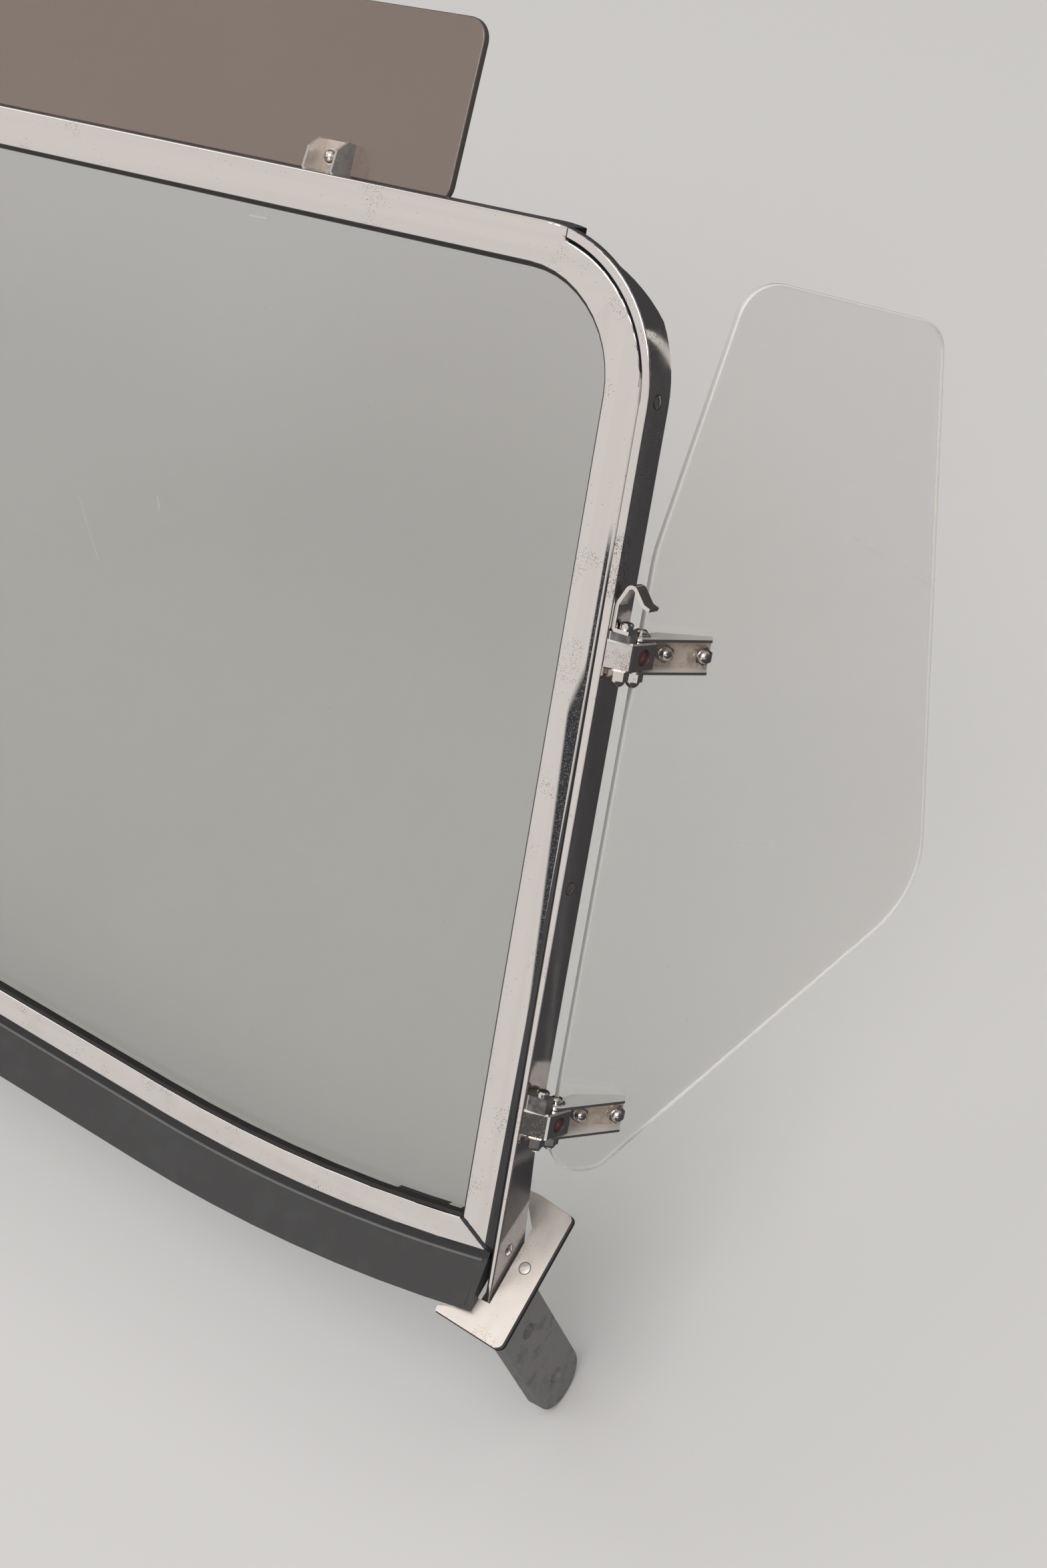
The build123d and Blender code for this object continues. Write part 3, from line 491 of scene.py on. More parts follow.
class StageSettings(bpy.types.PropertyGroup):
    """Floor and light"""

    floor: FloatVectorProperty(
        name="Floor",
        description="Colour of the floor",
        subtype="COLOR",
        default=(0.70, 0.685, 0.675),
        min=0.0,
        max=1.0,
    )
    key: FloatProperty(
        name="Key lamp",
        description="Power of the key lamp",
        subtype="POWER",
        default=42.0,
        min=0.0,
    )
    fill: FloatProperty(
        name="Fill lamp",
        description="Power of the fill lamp",
        subtype="POWER",
        default=18.0,
        min=0.0,
    )


class WindscreenSettings(bpy.types.PropertyGroup):
    """All sizes and colours of the windscreen's scene"""

    chrome: PointerProperty(type=ChromeSettings)
    sheets: PointerProperty(type=SheetSettings)
    screws: PointerProperty(type=ScrewSettings)
    washers: PointerProperty(type=WasherSettings)
    beads: PointerProperty(type=BeadSettings)
    stage: PointerProperty(type=StageSettings)


def dress(names, material):
    """Gives every node whose name ends in one of these names the material."""
    found = [node for node in nodes if node.endswith(tuple(names))]
    if not found:
        raise RuntimeError(f"no piece is called {names}")
    for node in found:
        for slot in nodes[node].material_slots:
            slot.material = material


def squeezed_along(graph, place, grain):
    """The place with its reach along the grain cut to a fiftieth, so that noise on it runs in lines."""
    run = graph.along(place, grain)
    back = grain * (1 / 50 - 1)
    return graph.vector_math("MULTIPLY_ADD", graph.vector(run, run, run), back, place)


def on_top_rail(graph, place):
    """1 where the frame's outer edge above is nearer than the one beside, 0 on the side limbs."""
    rise = graph.along(place, UP_SLOPE, FOOT) - graph.along(place, ACROSS)
    return rise > TOP_HEIGHT - HALF_WIDTH


def joint_line(graph, place, facing):
    """The dark line of the joint round the top corner, where the post's lip lies on the frame.

    The outline's corner is an arc, so the distance inside it is the corner's radius less the reach from
    the arc's centre, with what lies short of the centre counted as none.
    """
    u, v = graph.along(place, ACROSS), graph.along(place, UP_SLOPE, FOOT)
    beside, above = (u - (HALF_WIDTH - CORNER)).most(0.0), (v - (TOP_HEIGHT - CORNER)).most(0.0)
    inside = CORNER - (beside * beside + above * above) ** 0.5
    past_lip_end = (u + v).between(1.0085, 1.0105)
    over_groove = v.between(0.335, 0.350)
    line = abs(inside - JOINT_IN).between(0.0011, 0.0008) * past_lip_end * over_groove
    across_lip = inside.between(JOINT_IN + 0.0006, JOINT_IN) * v.between(0.44, 0.45)
    return line.most(abs(u - LIP_END).between(0.0007, 0.0004) * across_lip)


def mitre_dirt(graph, place, facing):
    """Dirt in the joint between the side limbs and the lower rail, with a ragged edge."""
    start, end = screen_point(*MITRE_START, 0.0), screen_point(*MITRE_END, 0.0)
    square = OUT_FACE.cross((end - start).normalized())
    ragged = (graph.noise(place, 700.0, 2.0) - 0.5) * 0.0006
    away = abs(graph.along(place, square, start)) + ragged
    past_start = graph.along(place, ACROSS).between(MITRE_START[0] - 0.0038, MITRE_START[0] - 0.0008)
    return away.between(0.0014, 0.0010) * past_start


def groove_shade(graph, place, facing):
    """Painted shade on the slopes of the groove between frame and post, lighter on the outer slope higher
    up.
    """
    soft = 0.0004
    u = graph.along(place, ACROSS)
    height = graph.along(place, UP_SLOPE, FOOT)
    sloping = graph.along(facing, OUT_FACE).between(0.985, 0.93)
    inboard = u.between(GROOVE_OUTER + soft, GROOVE_OUTER - soft)
    within = u.between(GROOVE_INNER - soft, GROOVE_INNER + soft) * inboard
    shallow = graph.along(place, OUT_FACE, FOOT).between(-0.0036, -0.0030)
    streaks = graph.noise(squeezed_along(graph, place, UP_SLOPE), 1500.0, 3.0, 0.6)
    outer_slope = 1 - graph.along(facing, ACROSS).between(-0.1, 0.1)
    # How dark the painted shade is: streaky, and lighter on the outer slope higher up
    thick = 0.86 + streaks * 0.12 - height.between(0.095, 0.150) * outer_slope * 0.45
    return sloping * within * shallow * height.between(0.345, 0.325) * thick


def edge_stipple(graph, place, facing):
    """Fine dark pitting along the frame's outer edge, which also serves as a painted dark reflection,
    widest under the upper hinge, narrower further down.

    Its inner edge leaves the post's joint at a height of 0.160 by 0.0465 of the rise, and closes above
    a height of 0.276 with a lean of 0.26. A thin strip runs on beside the joint to the top.
    """
    u = graph.along(place, ACROSS)
    height = graph.along(place, UP_SLOPE, FOOT)
    front = graph.along(facing, OUT_FACE).between(0.96, 0.99)
    tapering = (u + (height - 0.160) * 0.0465).between(0.5974, 0.5990)
    rounded = (u - (height - 0.276) * 0.26).between(0.5930, 0.5965)
    strip = u.between(0.5976, 0.5984) * height.between(0.275, 0.285) * height.between(0.352, 0.335)
    inboard_of_joint = u.between(0.5999, 0.5996)
    grains = graph.noise(place, 1500.0, 4.0, 0.75).between(0.50, 0.66)
    return front * (tapering * rounded).most(strip) * inboard_of_joint * (1.0 - grains * 0.30)


def lug_and_foot_shade(graph, place, facing):
    """Painted shade on the lugs over the hinge blocks, and a painted dark reflection round the post's foot,
    stronger in front.
    """
    lug = graph.along(place, ACROSS, (HALF_WIDTH, 0.0, 0.0)).between(0.0001, 0.0008)
    # Painted shade on the lugs, patchy
    lug_shade = (lug * (0.50 + graph.noise(place, 300.0, 3.0, 0.6) * 0.6)).clamp()
    height = graph.along(place, UP_SLOPE, FOOT)
    side = graph.along(facing, ACROSS).between(0.8, 0.95)
    ahead = (graph.along(place, OUT_FACE, FOOT) + height * 1.1 - 0.0283).between(-0.0015, 0.0015)
    # Painted dark reflection on the post's side near its foot, stronger in front
    return lug_shade.most(side * height.between(0.072, 0.062) * (0.58 + ahead * 0.32))


def rear_wall_highlight(graph, place, facing):
    """A painted highlight along the top of the lower rail's wall behind the pane, with a gap near each end.
    """
    u = graph.along(place, ACROSS)
    behind_pane = graph.along(place, OUT_FACE, FOOT).between(-0.0100, -0.0110)
    top = graph.along(facing, UP_SLOPE).between(0.6, 0.8) * behind_pane
    past_gap = u.between(0.5700, 0.5708) * u.between(0.5775, 0.5768)
    return top * u.between(0.5425, 0.5405).most(past_gap)


def plated(name, tint, worn, polish, grain, scars=(), turning=False, dirt_and_shade_masks=(), painted_highlight=None):
    """Polished plating: fine rubbing lines along a direction, soft smears, small pits and a few scars.

    With turning the lines turn to run across on the top rail. Each scar is a place and its reach. Each of
    the dark masks gives dirt in some places and painted shade in others, and the pale mask gives a painted
    highlight, pale and dull.
    """
    material, graph = new_material(name)
    place = graph.folded(graph.place())
    facing = graph.folded(graph.facing())
    squeezed = squeezed_along(graph, place, grain)
    if turning:
        squeezed = graph.blend(on_top_rail(graph, place), squeezed, squeezed_along(graph, place, ACROSS))
    lines = graph.noise(squeezed, 1400.0, 3.0, 0.65)
    bands = graph.noise(squeezed, 150.0, 2.0)
    smears = graph.noise(place, 38.0, 3.0, 0.6, 0.4)
    patches = graph.noise(place, 55.0, 2.0).between(0.56, 0.68)
    pits = graph.cells(place, 1250.0).between(0.30, 0.16) * patches
    specks = graph.cells(place, 330.0).between(0.075, 0.035)
    marks = pits.most(specks)
    for at, reach in scars:
        near = graph.away(place, at).between(reach, reach * 0.4)
        scratchy = graph.noise(place, 900.0, 3.0, 0.7, 1.5).between(0.53, 0.60)
        marks = marks.most(near * scratchy)
    wear = (marks * 0.85).clamp()
    shade = graph.blend(bands.between(0.35, 0.7) * 0.6, tint, scaled(tint, 0.93))
    base = graph.blend(wear, shade, worn)
    rough = polish + lines * 0.07 + smears.between(0.4, 0.75) * 0.08 + wear * 0.35
    metal = 1.0
    # Darken the plating by each mask: dirt in some, painted shade in others
    if dirt_and_shade_masks:
        dirt_and_shade = dirt_and_shade_masks[0](graph, place, facing)
        for more in dirt_and_shade_masks[1:]:
            dirt_and_shade = dirt_and_shade.most(more(graph, place, facing))
        base = graph.blend(dirt_and_shade, base, GRIME_AND_SHADE)
        metal = 1.0 - dirt_and_shade * 0.7
        rough = rough + dirt_and_shade * 0.30
    # A highlight painted pale and dull where the mask lies
    if painted_highlight:
        pale = painted_highlight(graph, place, facing)
        base = graph.blend(pale, base, WALL_TOP_HIGHLIGHT)
        metal = metal * (1 - pale * 0.8)
        rough = rough + pale * 0.2
    relief = graph.bump(lines * 0.12 + bands * 0.5 - marks * 1.2, 0.16, 0.0002)
    graph.ends(graph.principled(Base_Color=base, Metallic=metal, Roughness=rough, Normal=relief))
    return material


def under_rail(graph, place):
    """1 in the shadowed strip of the apron between the lower rail and its bead."""
    under = rail_line(graph.along(place, ACROSS)) - graph.along(place, UP_SLOPE, FOOT)
    return under.between(0.0170, 0.0160)


def rubbery(name, tint, sheen=0.0, shadowed=None):
    """Moulded rubber: a faint pebbled skin, dust in patches and a slightly greyer bloom."""
    material, graph = new_material(name)
    place = graph.place()
    skin = graph.noise(place, 2600.0, 2.0)
    bloom = graph.noise(place, 60.0, 4.0, 0.6).between(0.45, 0.75)
    dust = graph.cells(place, 420.0).between(0.10, 0.05) * graph.noise(place, 90.0).between(0.45, 0.6)
    grey = graph.blend(bloom * 0.5, tint, tuple(c + 0.022 for c in tint))
    if shadowed:
        grey = graph.blend(shadowed(graph, place) * 0.85, grey, SHADOWED)
    surface = graph.principled(
        Base_Color=graph.blend(dust * 0.45, grey, DUST),
        Roughness=0.42 + bloom * 0.16 + dust * 0.2 - sheen,
        Normal=graph.bump(skin + dust * 0.5, 0.25, 0.0001),
    )
    graph.ends(surface)
    return material


def scratch(graph, place, start, end, width):
    """A scratch from start to end: its distance is what is left after the reach along it is taken off."""
    line = (end - start).normalized()
    reach = graph.along(place, line, start).most(0.0).least((end - start).length)
    nearest = graph.vector_math("MULTIPLY_ADD", graph.vector(reach, reach, reach), line, start)
    return graph.away(place, nearest).between(width, width * 0.4) * 0.55


def see_through(name, tint, shadow, index, scratches=(), front=None, edge=None):
    """Clear sheet that refracts what is behind it and lets lamplight through, with dust and scratches.

    Where its surface turns away from front it is sawn and polished, and shows as a line of the edge's
    colour in place of refraction there; on the clear sheet that colour is a painted highlight.
    """
    material, graph = new_material(name)
    place = graph.folded(graph.place())
    sheet = graph.principled(Base_Color=tint, Roughness=0.0, IOR=index, Transmission_Weight=1.0)
    dull = graph.principled(Base_Color=DULLED, Roughness=0.7)
    grains = graph.cells(place, 95.0).between(0.035, 0.015) * graph.noise(place, 11.0).between(0.48, 0.56)
    haze = graph.noise(place, 9.0, 3.0, 0.6).between(0.5, 0.85) * 0.035
    marks = grains * 0.6 + haze
    for start, end, width in scratches:
        marks = marks.most(scratch(graph, place, start, end, width))
    worn = graph.mix(marks.clamp(), sheet, dull)
    if front:
        flat = abs(graph.along(graph.folded(graph.facing()), front))
        # The edge's colour stands in for the light in the edge; on clear acrylic it is a painted highlight
        rim = graph.principled(Base_Color=edge, Roughness=0.35, Coat_Weight=0.5)
        worn = graph.mix(flat.between(0.93, 0.60) * 0.92, worn, rim)
    tinted = graph.node("ShaderNodeBsdfTransparent", {}, Color=opaque(shadow))
    lamps = graph.node("ShaderNodeLightPath", {}, out="Is Shadow Ray")
    graph.ends(graph.mix(lamps, worn, tinted))
    return material


class FINISH_OT_metal(bpy.types.Operator):
    """Polished frame, posts and hinges, warm folds in the channels, and brushed legs"""

    bl_idname = "windscreen.metal"
    bl_label = "Metal"

    def execute(self, context):
        chrome = context.scene.windscreen.chrome
        tint, worn = colour(chrome.tint), colour(chrome.worn)
        joints = (mitre_dirt, groove_shade, edge_stipple, joint_line)
        arch = plated("frame_chrome", tint, worn, polish=0.13, grain=UP_SLOPE, turning=True, dirt_and_shade_masks=joints)
        dress(["upper_frame"], arch)
        dirt_and_shade_masks = (mitre_dirt, groove_shade)
        rail = plated("rail_chrome", tint, worn, polish=0.13, grain=ACROSS, dirt_and_shade_masks=dirt_and_shade_masks, painted_highlight=rear_wall_highlight)
        dress(["lower_rail"], rail)
        post = plated(
            "post_chrome",
            tint,
            worn,
            polish=0.05,
            grain=UP_SLOPE,
            scars=[(screen_point(0.604, 0.328, 0.0), 0.012), (screen_point(0.604, 0.341, 0.0), 0.008)],
            turning=True,
            dirt_and_shade_masks=(groove_shade, lug_and_foot_shade, joint_line),
        )
        dress(["post"], post)
        plain = plated("fitting_chrome", tint, worn, polish=0.06, grain=UP_SLOPE)
        bolts = ["block_bolts", "pivot_pins", "panel_bolts", "visor_pins", "visor_bolts"]
        dress([*bolts, "hook", "visor_blocks"], plain)
        satin = tuple(c * k for c, k in zip(tint, (1.06, 1.03, 0.99)))
        dress(["base_plate"], plated("plate_chrome", satin, worn, polish=0.34, grain=OUT_FACE))
        dress(["hinge_block"], self.block(chrome))
        dress(["_channel", "visor_channels"], self.folds(chrome))
        dress(["leg"], self.brushed(colour(chrome.steel)))
        return {"FINISHED"}

    def block(self, chrome):
        """Chrome with pits gathered on the front face, and bare metal inside the round recess.

        The cut edges round the front face carry a painted highlight, a pale satin, the upright one on the
        lower block only.
        """
        material, graph = new_material("block_chrome")
        place = graph.folded(graph.place())
        facing = graph.folded(graph.facing())
        side = (ACROSS * 0.0144 + OUT_FACE * 0.0024).normalized()
        ahead = (OUT_FACE * 0.941 + ACROSS * 0.339).normalized()

        def inside(v):
            """1 close to the axis of the recess at height v and behind the block's outboard face."""
            middle = screen_point(HALF_WIDTH + 0.0116, v, -0.0118)
            set_back = graph.along(place, side, middle).between(-0.0002, -0.0005)
            return graph.away(place, middle).between(0.0042, 0.0039) * set_back

        recess = inside(HINGES[0]).most(inside(HINGES[1]))
        gathered = graph.noise(place, 260.0).between(0.46, 0.62)
        pitted = graph.cells(place, 1500.0).between(0.34, 0.2) * gathered
        smudge = screen_point(HALF_WIDTH + 0.0085, HINGES[0] - 0.0015, -0.0035)
        grains = graph.noise(place, 900.0, 2.0).between(0.42, 0.55)
        smudged = graph.away(place, smudge).between(0.0050, 0.0025) * grains
        smudged = smudged * graph.cells(place, 1900.0).between(0.42, 0.22)
        pitted = pitted.most(smudged) * graph.along(facing, OUT_FACE).between(0.5, 0.8)
        rubbing = graph.noise(place, 900.0, 3.0, 0.6)
        upper_edge = graph.along(facing, (ahead + UP_SLOPE).normalized()).between(0.93, 0.97)
        outer_edge = graph.along(facing, (ahead + side).normalized()).between(0.93, 0.97)
        low = graph.along(place, UP_SLOPE, FOOT).between(0.201, 0.199)
        # The pale satin on the cut edges is a painted highlight
        edge_highlight = upper_edge.most(outer_edge * low)
        stained = graph.blend(pitted * 0.75, colour(chrome.tint), colour(chrome.worn))
        stained = graph.blend(edge_highlight, stained, EDGE_HIGHLIGHT)
        surface = graph.principled(
            Base_Color=graph.blend(recess, stained, colour(chrome.copper)),
            Metallic=1.0 - recess * 0.5 - edge_highlight * 0.8,
            Roughness=0.07 + rubbing * 0.08 + pitted * 0.3 + recess * 0.18 + edge_highlight * 0.2,
            Normal=graph.bump(rubbing * 0.1 - pitted * 1.2, 0.2, 0.0002),
        )
        graph.ends(surface)
        return material

    def folds(self, chrome):
        """Plated sheet: bright outside, with painted highlights on its edges and a golden painted
        reflection on the web between the flanges.
        """
        material, graph = new_material("channel_chrome")
        place = graph.folded(graph.place())
        facing = graph.folded(graph.facing())
        axis = screen_point(HALF_WIDTH + AXIS_A, 0.0, -AXIS_B)
        web = graph.along(facing, WING_FACE).between(0.80, 0.95)
        web = web * graph.along(place, WING_FACE, axis).between(-0.0062, -0.0067)
        on_visor = graph.along(place, UP_SLOPE, FOOT).between(0.455, 0.460)
        pins = screen_point(0.0, VISOR_AXIS_V, VISOR_AXIS_N)
        inner = graph.along(facing, VISOR_FACE).between(0.80, 0.95) * on_visor
        web = web.most(inner * graph.along(place, VISOR_FACE, pins).between(-0.0064, -0.0070))
        cloudy = graph.noise(place, 170.0, 3.0, 0.6, 0.6)
        rubbing = graph.noise(place, 1100.0, 3.0, 0.6)
        # The web's warm colours are a painted reflection, patchy through the clouds
        warm = graph.blend(cloudy.between(0.42, 0.75), colour(chrome.web_reflection), colour(chrome.web_reflection_patches))
        flange = abs(graph.along(facing, UP_SLOPE)).between(0.80, 0.95)
        flange = flange.most(abs(graph.along(facing, ACROSS)).between(0.80, 0.95) * on_visor * 0.6)
        flange = flange * (0.75 + cloudy * 0.3)
        satin = web.most(flange)
        # The flanges' pale colour is a painted highlight
        pale = graph.blend(flange * 0.7, colour(chrome.tint), FLANGE_HIGHLIGHT)
        surface = graph.principled(
            Base_Color=graph.blend(web * 0.85, pale, warm),
            Metallic=1.0 - satin * 0.72,
            Roughness=0.09 + rubbing * 0.07 + satin * (0.22 + cloudy * 0.16),
            Normal=graph.bump(rubbing, 0.06, 0.0002),
        )
        graph.ends(surface)
        return material

    def brushed(self, tint):
        """Bar steel: rolled lines down the leg, darker scale in patches and a little rust."""
        material, graph = new_material("leg_steel")
        place = graph.place()
        lines = graph.noise(graph.vector_math("MULTIPLY", place, (1.0, 1.0, 0.03)), 1600.0, 3.0, 0.6)
        scale = graph.noise(place, 120.0, 5.0, 0.65, 0.5).between(0.5, 0.68)
        rust = graph.noise(place, 260.0, 4.0, 0.7).between(0.66, 0.76)
        body = graph.blend(scale * 0.5, tint, scaled(tint, 0.45))
        surface = graph.principled(
            Base_Color=graph.blend(rust * 0.5, body, RUST),
            Metallic=0.6 - rust * 0.4,
            Roughness=0.34 + lines * 0.16 + scale * 0.14,
            Normal=graph.bump(lines + scale * 0.4, 0.22, 0.0002),
        )
        graph.ends(surface)
        return material


class FINISH_OT_sheets(bpy.types.Operator):
    """Tinted pane, clear deflectors, smoked visors, and the rubber that holds and seals them"""

    bl_idname = "windscreen.sheets"
    bl_label = "Glass, acrylic and rubber"

    def execute(self, context):
        sheets = context.scene.windscreen.sheets
        glass, acrylic = 1.52, 1.49
        pane_scratches = [
            (screen_point(0.300, 0.290, -0.004), screen_point(0.318, 0.262, -0.004), 0.0002),
            (screen_point(0.350, 0.302, -0.004), screen_point(0.3525, 0.296, -0.004), 0.0003),
            (screen_point(0.385, 0.4362, -0.004), screen_point(0.3945, 0.4366, -0.004), 0.0006),
        ]
        pane = see_through("pane_glass", colour(sheets.pane), (0.64, 0.66, 0.64), glass, pane_scratches)
        dress(["glass_pane"], pane)

        def on_panel(w, v):
            """A point of the clear sheet, w out from the line of its pivots and v up the slope."""
            return screen_point(HALF_WIDTH + AXIS_A, v, -AXIS_B) + WING_OUT * w - WING_FACE * PANEL_BACK

        panel_scratches = [
            (on_panel(0.092, 0.352), on_panel(0.1075, 0.345), 0.00022),
            (on_panel(0.118, 0.342), on_panel(0.150, 0.326), 0.00014),
            (on_panel(0.060, 0.214), on_panel(0.082, 0.2135), 0.0001),
        ]
        clear = see_through(
            "clear_acrylic",
            colour(sheets.clear),
            (0.90, 0.90, 0.89),
            acrylic,
            panel_scratches,
            front=WING_FACE,
            edge=colour(sheets.edge),
        )
        dress(["deflector_panel"], clear)
        smoked = see_through(
            "smoked_acrylic",
            colour(sheets.smoke),
            (0.30, 0.25, 0.22),
            acrylic,
            front=VISOR_FACE,
            edge=colour(sheets.smoke_edge),
        )
        dress(["visor_panel"], smoked)
        dress(["glazing_seal", "base_pad"], rubbery("glazing_rubber", colour(sheets.rubber), sheen=0.06))
        apron = tuple(c + 0.026 for c in colour(sheets.rubber))
        dress(["scuttle_seal"], rubbery("apron_rubber", apron, shadowed=under_rail))
        return {"FINISHED"}


def grid_piece(name, loops, body, material, turned=False):
    """A mesh from closed loops of points, each joined to the next, and with turned the last to the first.

    Its faces point outwards once doubles are merged and the normals recalculated. The piece rides on
    its body.
    """
    rows, columns = loops.shape[:2]
    index = np.arange(rows * columns).reshape(rows, columns)
    if turned:
        index = np.vstack([index, index[:1]])
    index = np.hstack([index, index[:, :1]])
    corners = [index[:-1, :-1], index[1:, :-1], index[1:, 1:], index[:-1, 1:]]
    faces = np.stack(corners, axis=-1).reshape(-1, 4)
    mesh = bpy.data.meshes.new(name)
    mesh.from_pydata(loops.reshape(-1, 3).tolist(), [], faces.tolist())
    tidy = bmesh.new()
    tidy.from_mesh(mesh)
    bmesh.ops.remove_doubles(tidy, verts=tidy.verts, dist=1e-6)
    bmesh.ops.dissolve_degenerate(tidy, edges=tidy.edges, dist=1e-7)
    bmesh.ops.recalc_face_normals(tidy, faces=tidy.faces)
    tidy.to_mesh(mesh)
    tidy.free()
    mesh.materials.append(material)
    mesh.shade_smooth()
    mesh.set_sharp_from_angle(angle=math.radians(35.0))
    piece = bpy.data.objects.new(name, mesh)
    bpy.context.scene.collection.objects.link(piece)
    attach(piece, body)


def basis(out, slot_direction):
    """Three square directions as rows: across the slot, along the slot and outwards."""
    out = np.array(out) / np.linalg.norm(out)
    along = np.array(slot_direction) - out * np.dot(slot_direction, out)
    along /= np.linalg.norm(along)
    return np.stack([np.cross(along, out), along, out])


def screw_head(radius, crown, slot):
    """A crowned head with a straight slot, as an array of closed loops across it.

    Each column stands at one distance x from the slot's line. Its loop goes over the top, where the
    height is the crown times one less the squared distance from the middle over the squared radius,
    and back along a flat underside. Between the slot's walls the top lies a slot's depth lower.
    """
    wall, slot_depth, proud, underside = slot / 2, 0.0004, 0.0001, -0.0009
    outer = radius * np.cos(np.linspace(0.0, 0.5, 9)[:-1] * math.pi) * (1 - wall / radius) + wall
    x = np.concatenate([-outer, [-wall * 1.15, -wall, -wall, wall, wall, wall * 1.15], outer[::-1]])
    sunk = np.zeros_like(x)
    sunk[len(outer) + 2 : len(outer) + 4] = crown + slot_depth
    reach = np.sqrt(np.clip(radius**2 - x**2, 0.0, None))
    t = np.linspace(-1.0, 1.0, 17)
    y = reach[:, None] * t[None, :]
    far = (x[:, None] ** 2 + y**2) / radius**2
    top = crown * (1 - far) + proud - sunk[:, None]
    across = np.repeat(x[:, None], t.size, 1)
    over = np.stack([across, y, top], axis=-1)
    back = np.stack([across, y[:, ::-1], np.full_like(y, underside)], axis=-1)
    return np.concatenate([over, back], axis=1)


def ring(inner, outer, low, high, edge, count=32):
    """A washer: a rectangle with its corners cut by edge, turned once round the third axis."""
    radius = np.array([inner, outer - edge, outer, outer, outer - edge, inner])
    height = np.array([low, low, low + edge, high - edge, high, high])
    angle = np.linspace(0.0, 2 * math.pi, count, endpoint=False)[:, None]
    parts = np.broadcast_arrays(np.cos(angle) * radius, np.sin(angle) * radius, height)
    return np.stack(parts, axis=-1)


def fasten(name, shape, origin, axes, side, body, metal, turned=True):
    """A small metal piece: its shape's parts along three axes from an origin, mirrored on the right."""
    loops = np.array(origin) + shape @ np.array(axes)
    loops[..., 0] *= side
    grid_piece(name, loops, body, metal, turned)


class PIECES_OT_screws(bpy.types.Operator):
    """Slotted screws in sunk rims painted dark as shade: three down the side of each post and one in each
    base plate
    """

    bl_idname = "windscreen.screws"
    bl_label = "Screws"

    def execute(self, context):
        settings = context.scene.windscreen
        tint, worn = colour(settings.chrome.tint), colour(settings.chrome.worn)
        metal = plated("screw_chrome", tint, worn, polish=0.14, grain=UP_SLOPE)
        dull = plated("plate_screw_chrome", tint, worn, polish=0.34, grain=UP_SLOPE)
        # The sunk rims round the heads are painted dark as shade
        sunk = plated("rim_shade_chrome", worn, worn, polish=0.35, grain=UP_SLOPE)
        radius, crown, slot = settings.screws.radius, settings.screws.crown, settings.screws.slot
        rim = ring(radius, radius * 1.14, low=-0.0004, high=0.00008, edge=0.00003)
        head = screw_head(radius, crown, slot)
        flat_head = screw_head(radius, crown * 0.25, slot)
        # Each post screw's height and place across the side, and the turn of its slot in degrees
        places = (
            ("high", 0.400, -0.0062, 20.0),
            ("middle", 0.193, -0.0056, -60.0),
            ("low", 0.020, -0.0082, 35.0),
        )
        for name, side in SIDES:
            for label, v, n, turn in places:
                turn = math.radians(turn)
                at = screen_point(HALF_WIDTH, v, n)
                axes = basis(ACROSS, UP_SLOPE * math.cos(turn) + OUT_FACE * math.sin(turn))
                fasten(f"{name}_post_screw_{label}", head, at, axes, side, "screen", metal, turned=False)
                fasten(f"{name}_countersink_{label}", rim, at, axes, side, "screen", sunk)
            at = screen_point(HALF_WIDTH, 0.0, 0.0) + ACROSS * 0.0077 + PLATE_BACK * 0.0174
            axes = basis(PLATE_UP, ACROSS * 0.8 + PLATE_BACK * 0.6)
            fasten(f"{name}_plate_screw", flat_head, at, axes, side, "screen", dull, turned=False)
            fasten(f"{name}_plate_countersink", rim, at, axes, side, "screen", sunk)
        return {"FINISHED"}


class PIECES_OT_washers(bpy.types.Operator):
    """Washers stacked round the pivots' heads, and a hexagon under each outer dome on the webs"""

    bl_idname = "windscreen.washers"
    bl_label = "Washers"

    def execute(self, context):
        settings = context.scene.windscreen
        tint, worn = colour(settings.chrome.tint), colour(settings.chrome.worn)
        metal = plated("washer_chrome", tint, worn, polish=0.08, grain=UP_SLOPE)
        radius, thick = settings.washers.radius, settings.washers.thickness
        bore, flange_top = 0.0027, 0.0076
        # Each washer's radius and its rise over the flange: two on the upper pivot, one on the lower
        stacks = (((radius, 0.0), (radius * 0.84, thick)), ((radius * 0.95, 0.0),))
        nut = ring(inner=0.0026, outer=0.0043, low=-0.007, high=-0.0056, edge=0.0003, count=6)
        for name, side in SIDES:
            body = f"{name}_deflector"
            for place, v, stack in zip(("upper", "lower"), HINGES, stacks):
                pivot = screen_point(HALF_WIDTH + AXIS_A, v, -AXIS_B)
                for count, (outer, rise) in enumerate(stack, 1):
                    low = flange_top + rise
                    washer = ring(bore, outer, low, low + thick, edge=thick / 4)
                    label = f"{name}_{place}_pivot_washer_{count}"
                    fasten(label, washer, pivot, basis(UP_SLOPE, ACROSS), side, body, metal)
                bolt = pivot + WING_OUT * BOLT_OUT
                axes = basis(WING_FACE, UP_SLOPE)
                fasten(f"{name}_{place}_web_nut", nut, bolt, axes, side, body, metal)
        return {"FINISHED"}


def capped(loops):
    """Loops of points with one more at each end, drawn together in the end loop's middle to close it."""
    middles = [loop.mean(axis=0)[None, None, :] for loop in (loops[0], loops[-1])]
    first, last = (np.repeat(middle, loops.shape[1], 1) for middle in middles)
    return np.concatenate([first, loops, last])


def on_screen(u, v, n):
    """Arrays of u, v and n carried to the screen: the foot plus the three directions times them."""
    parts = np.stack(np.broadcast_arrays(u, v, n), axis=-1)
    return np.array(FOOT) + parts @ np.array([ACROSS, UP_SLOPE, OUT_FACE])


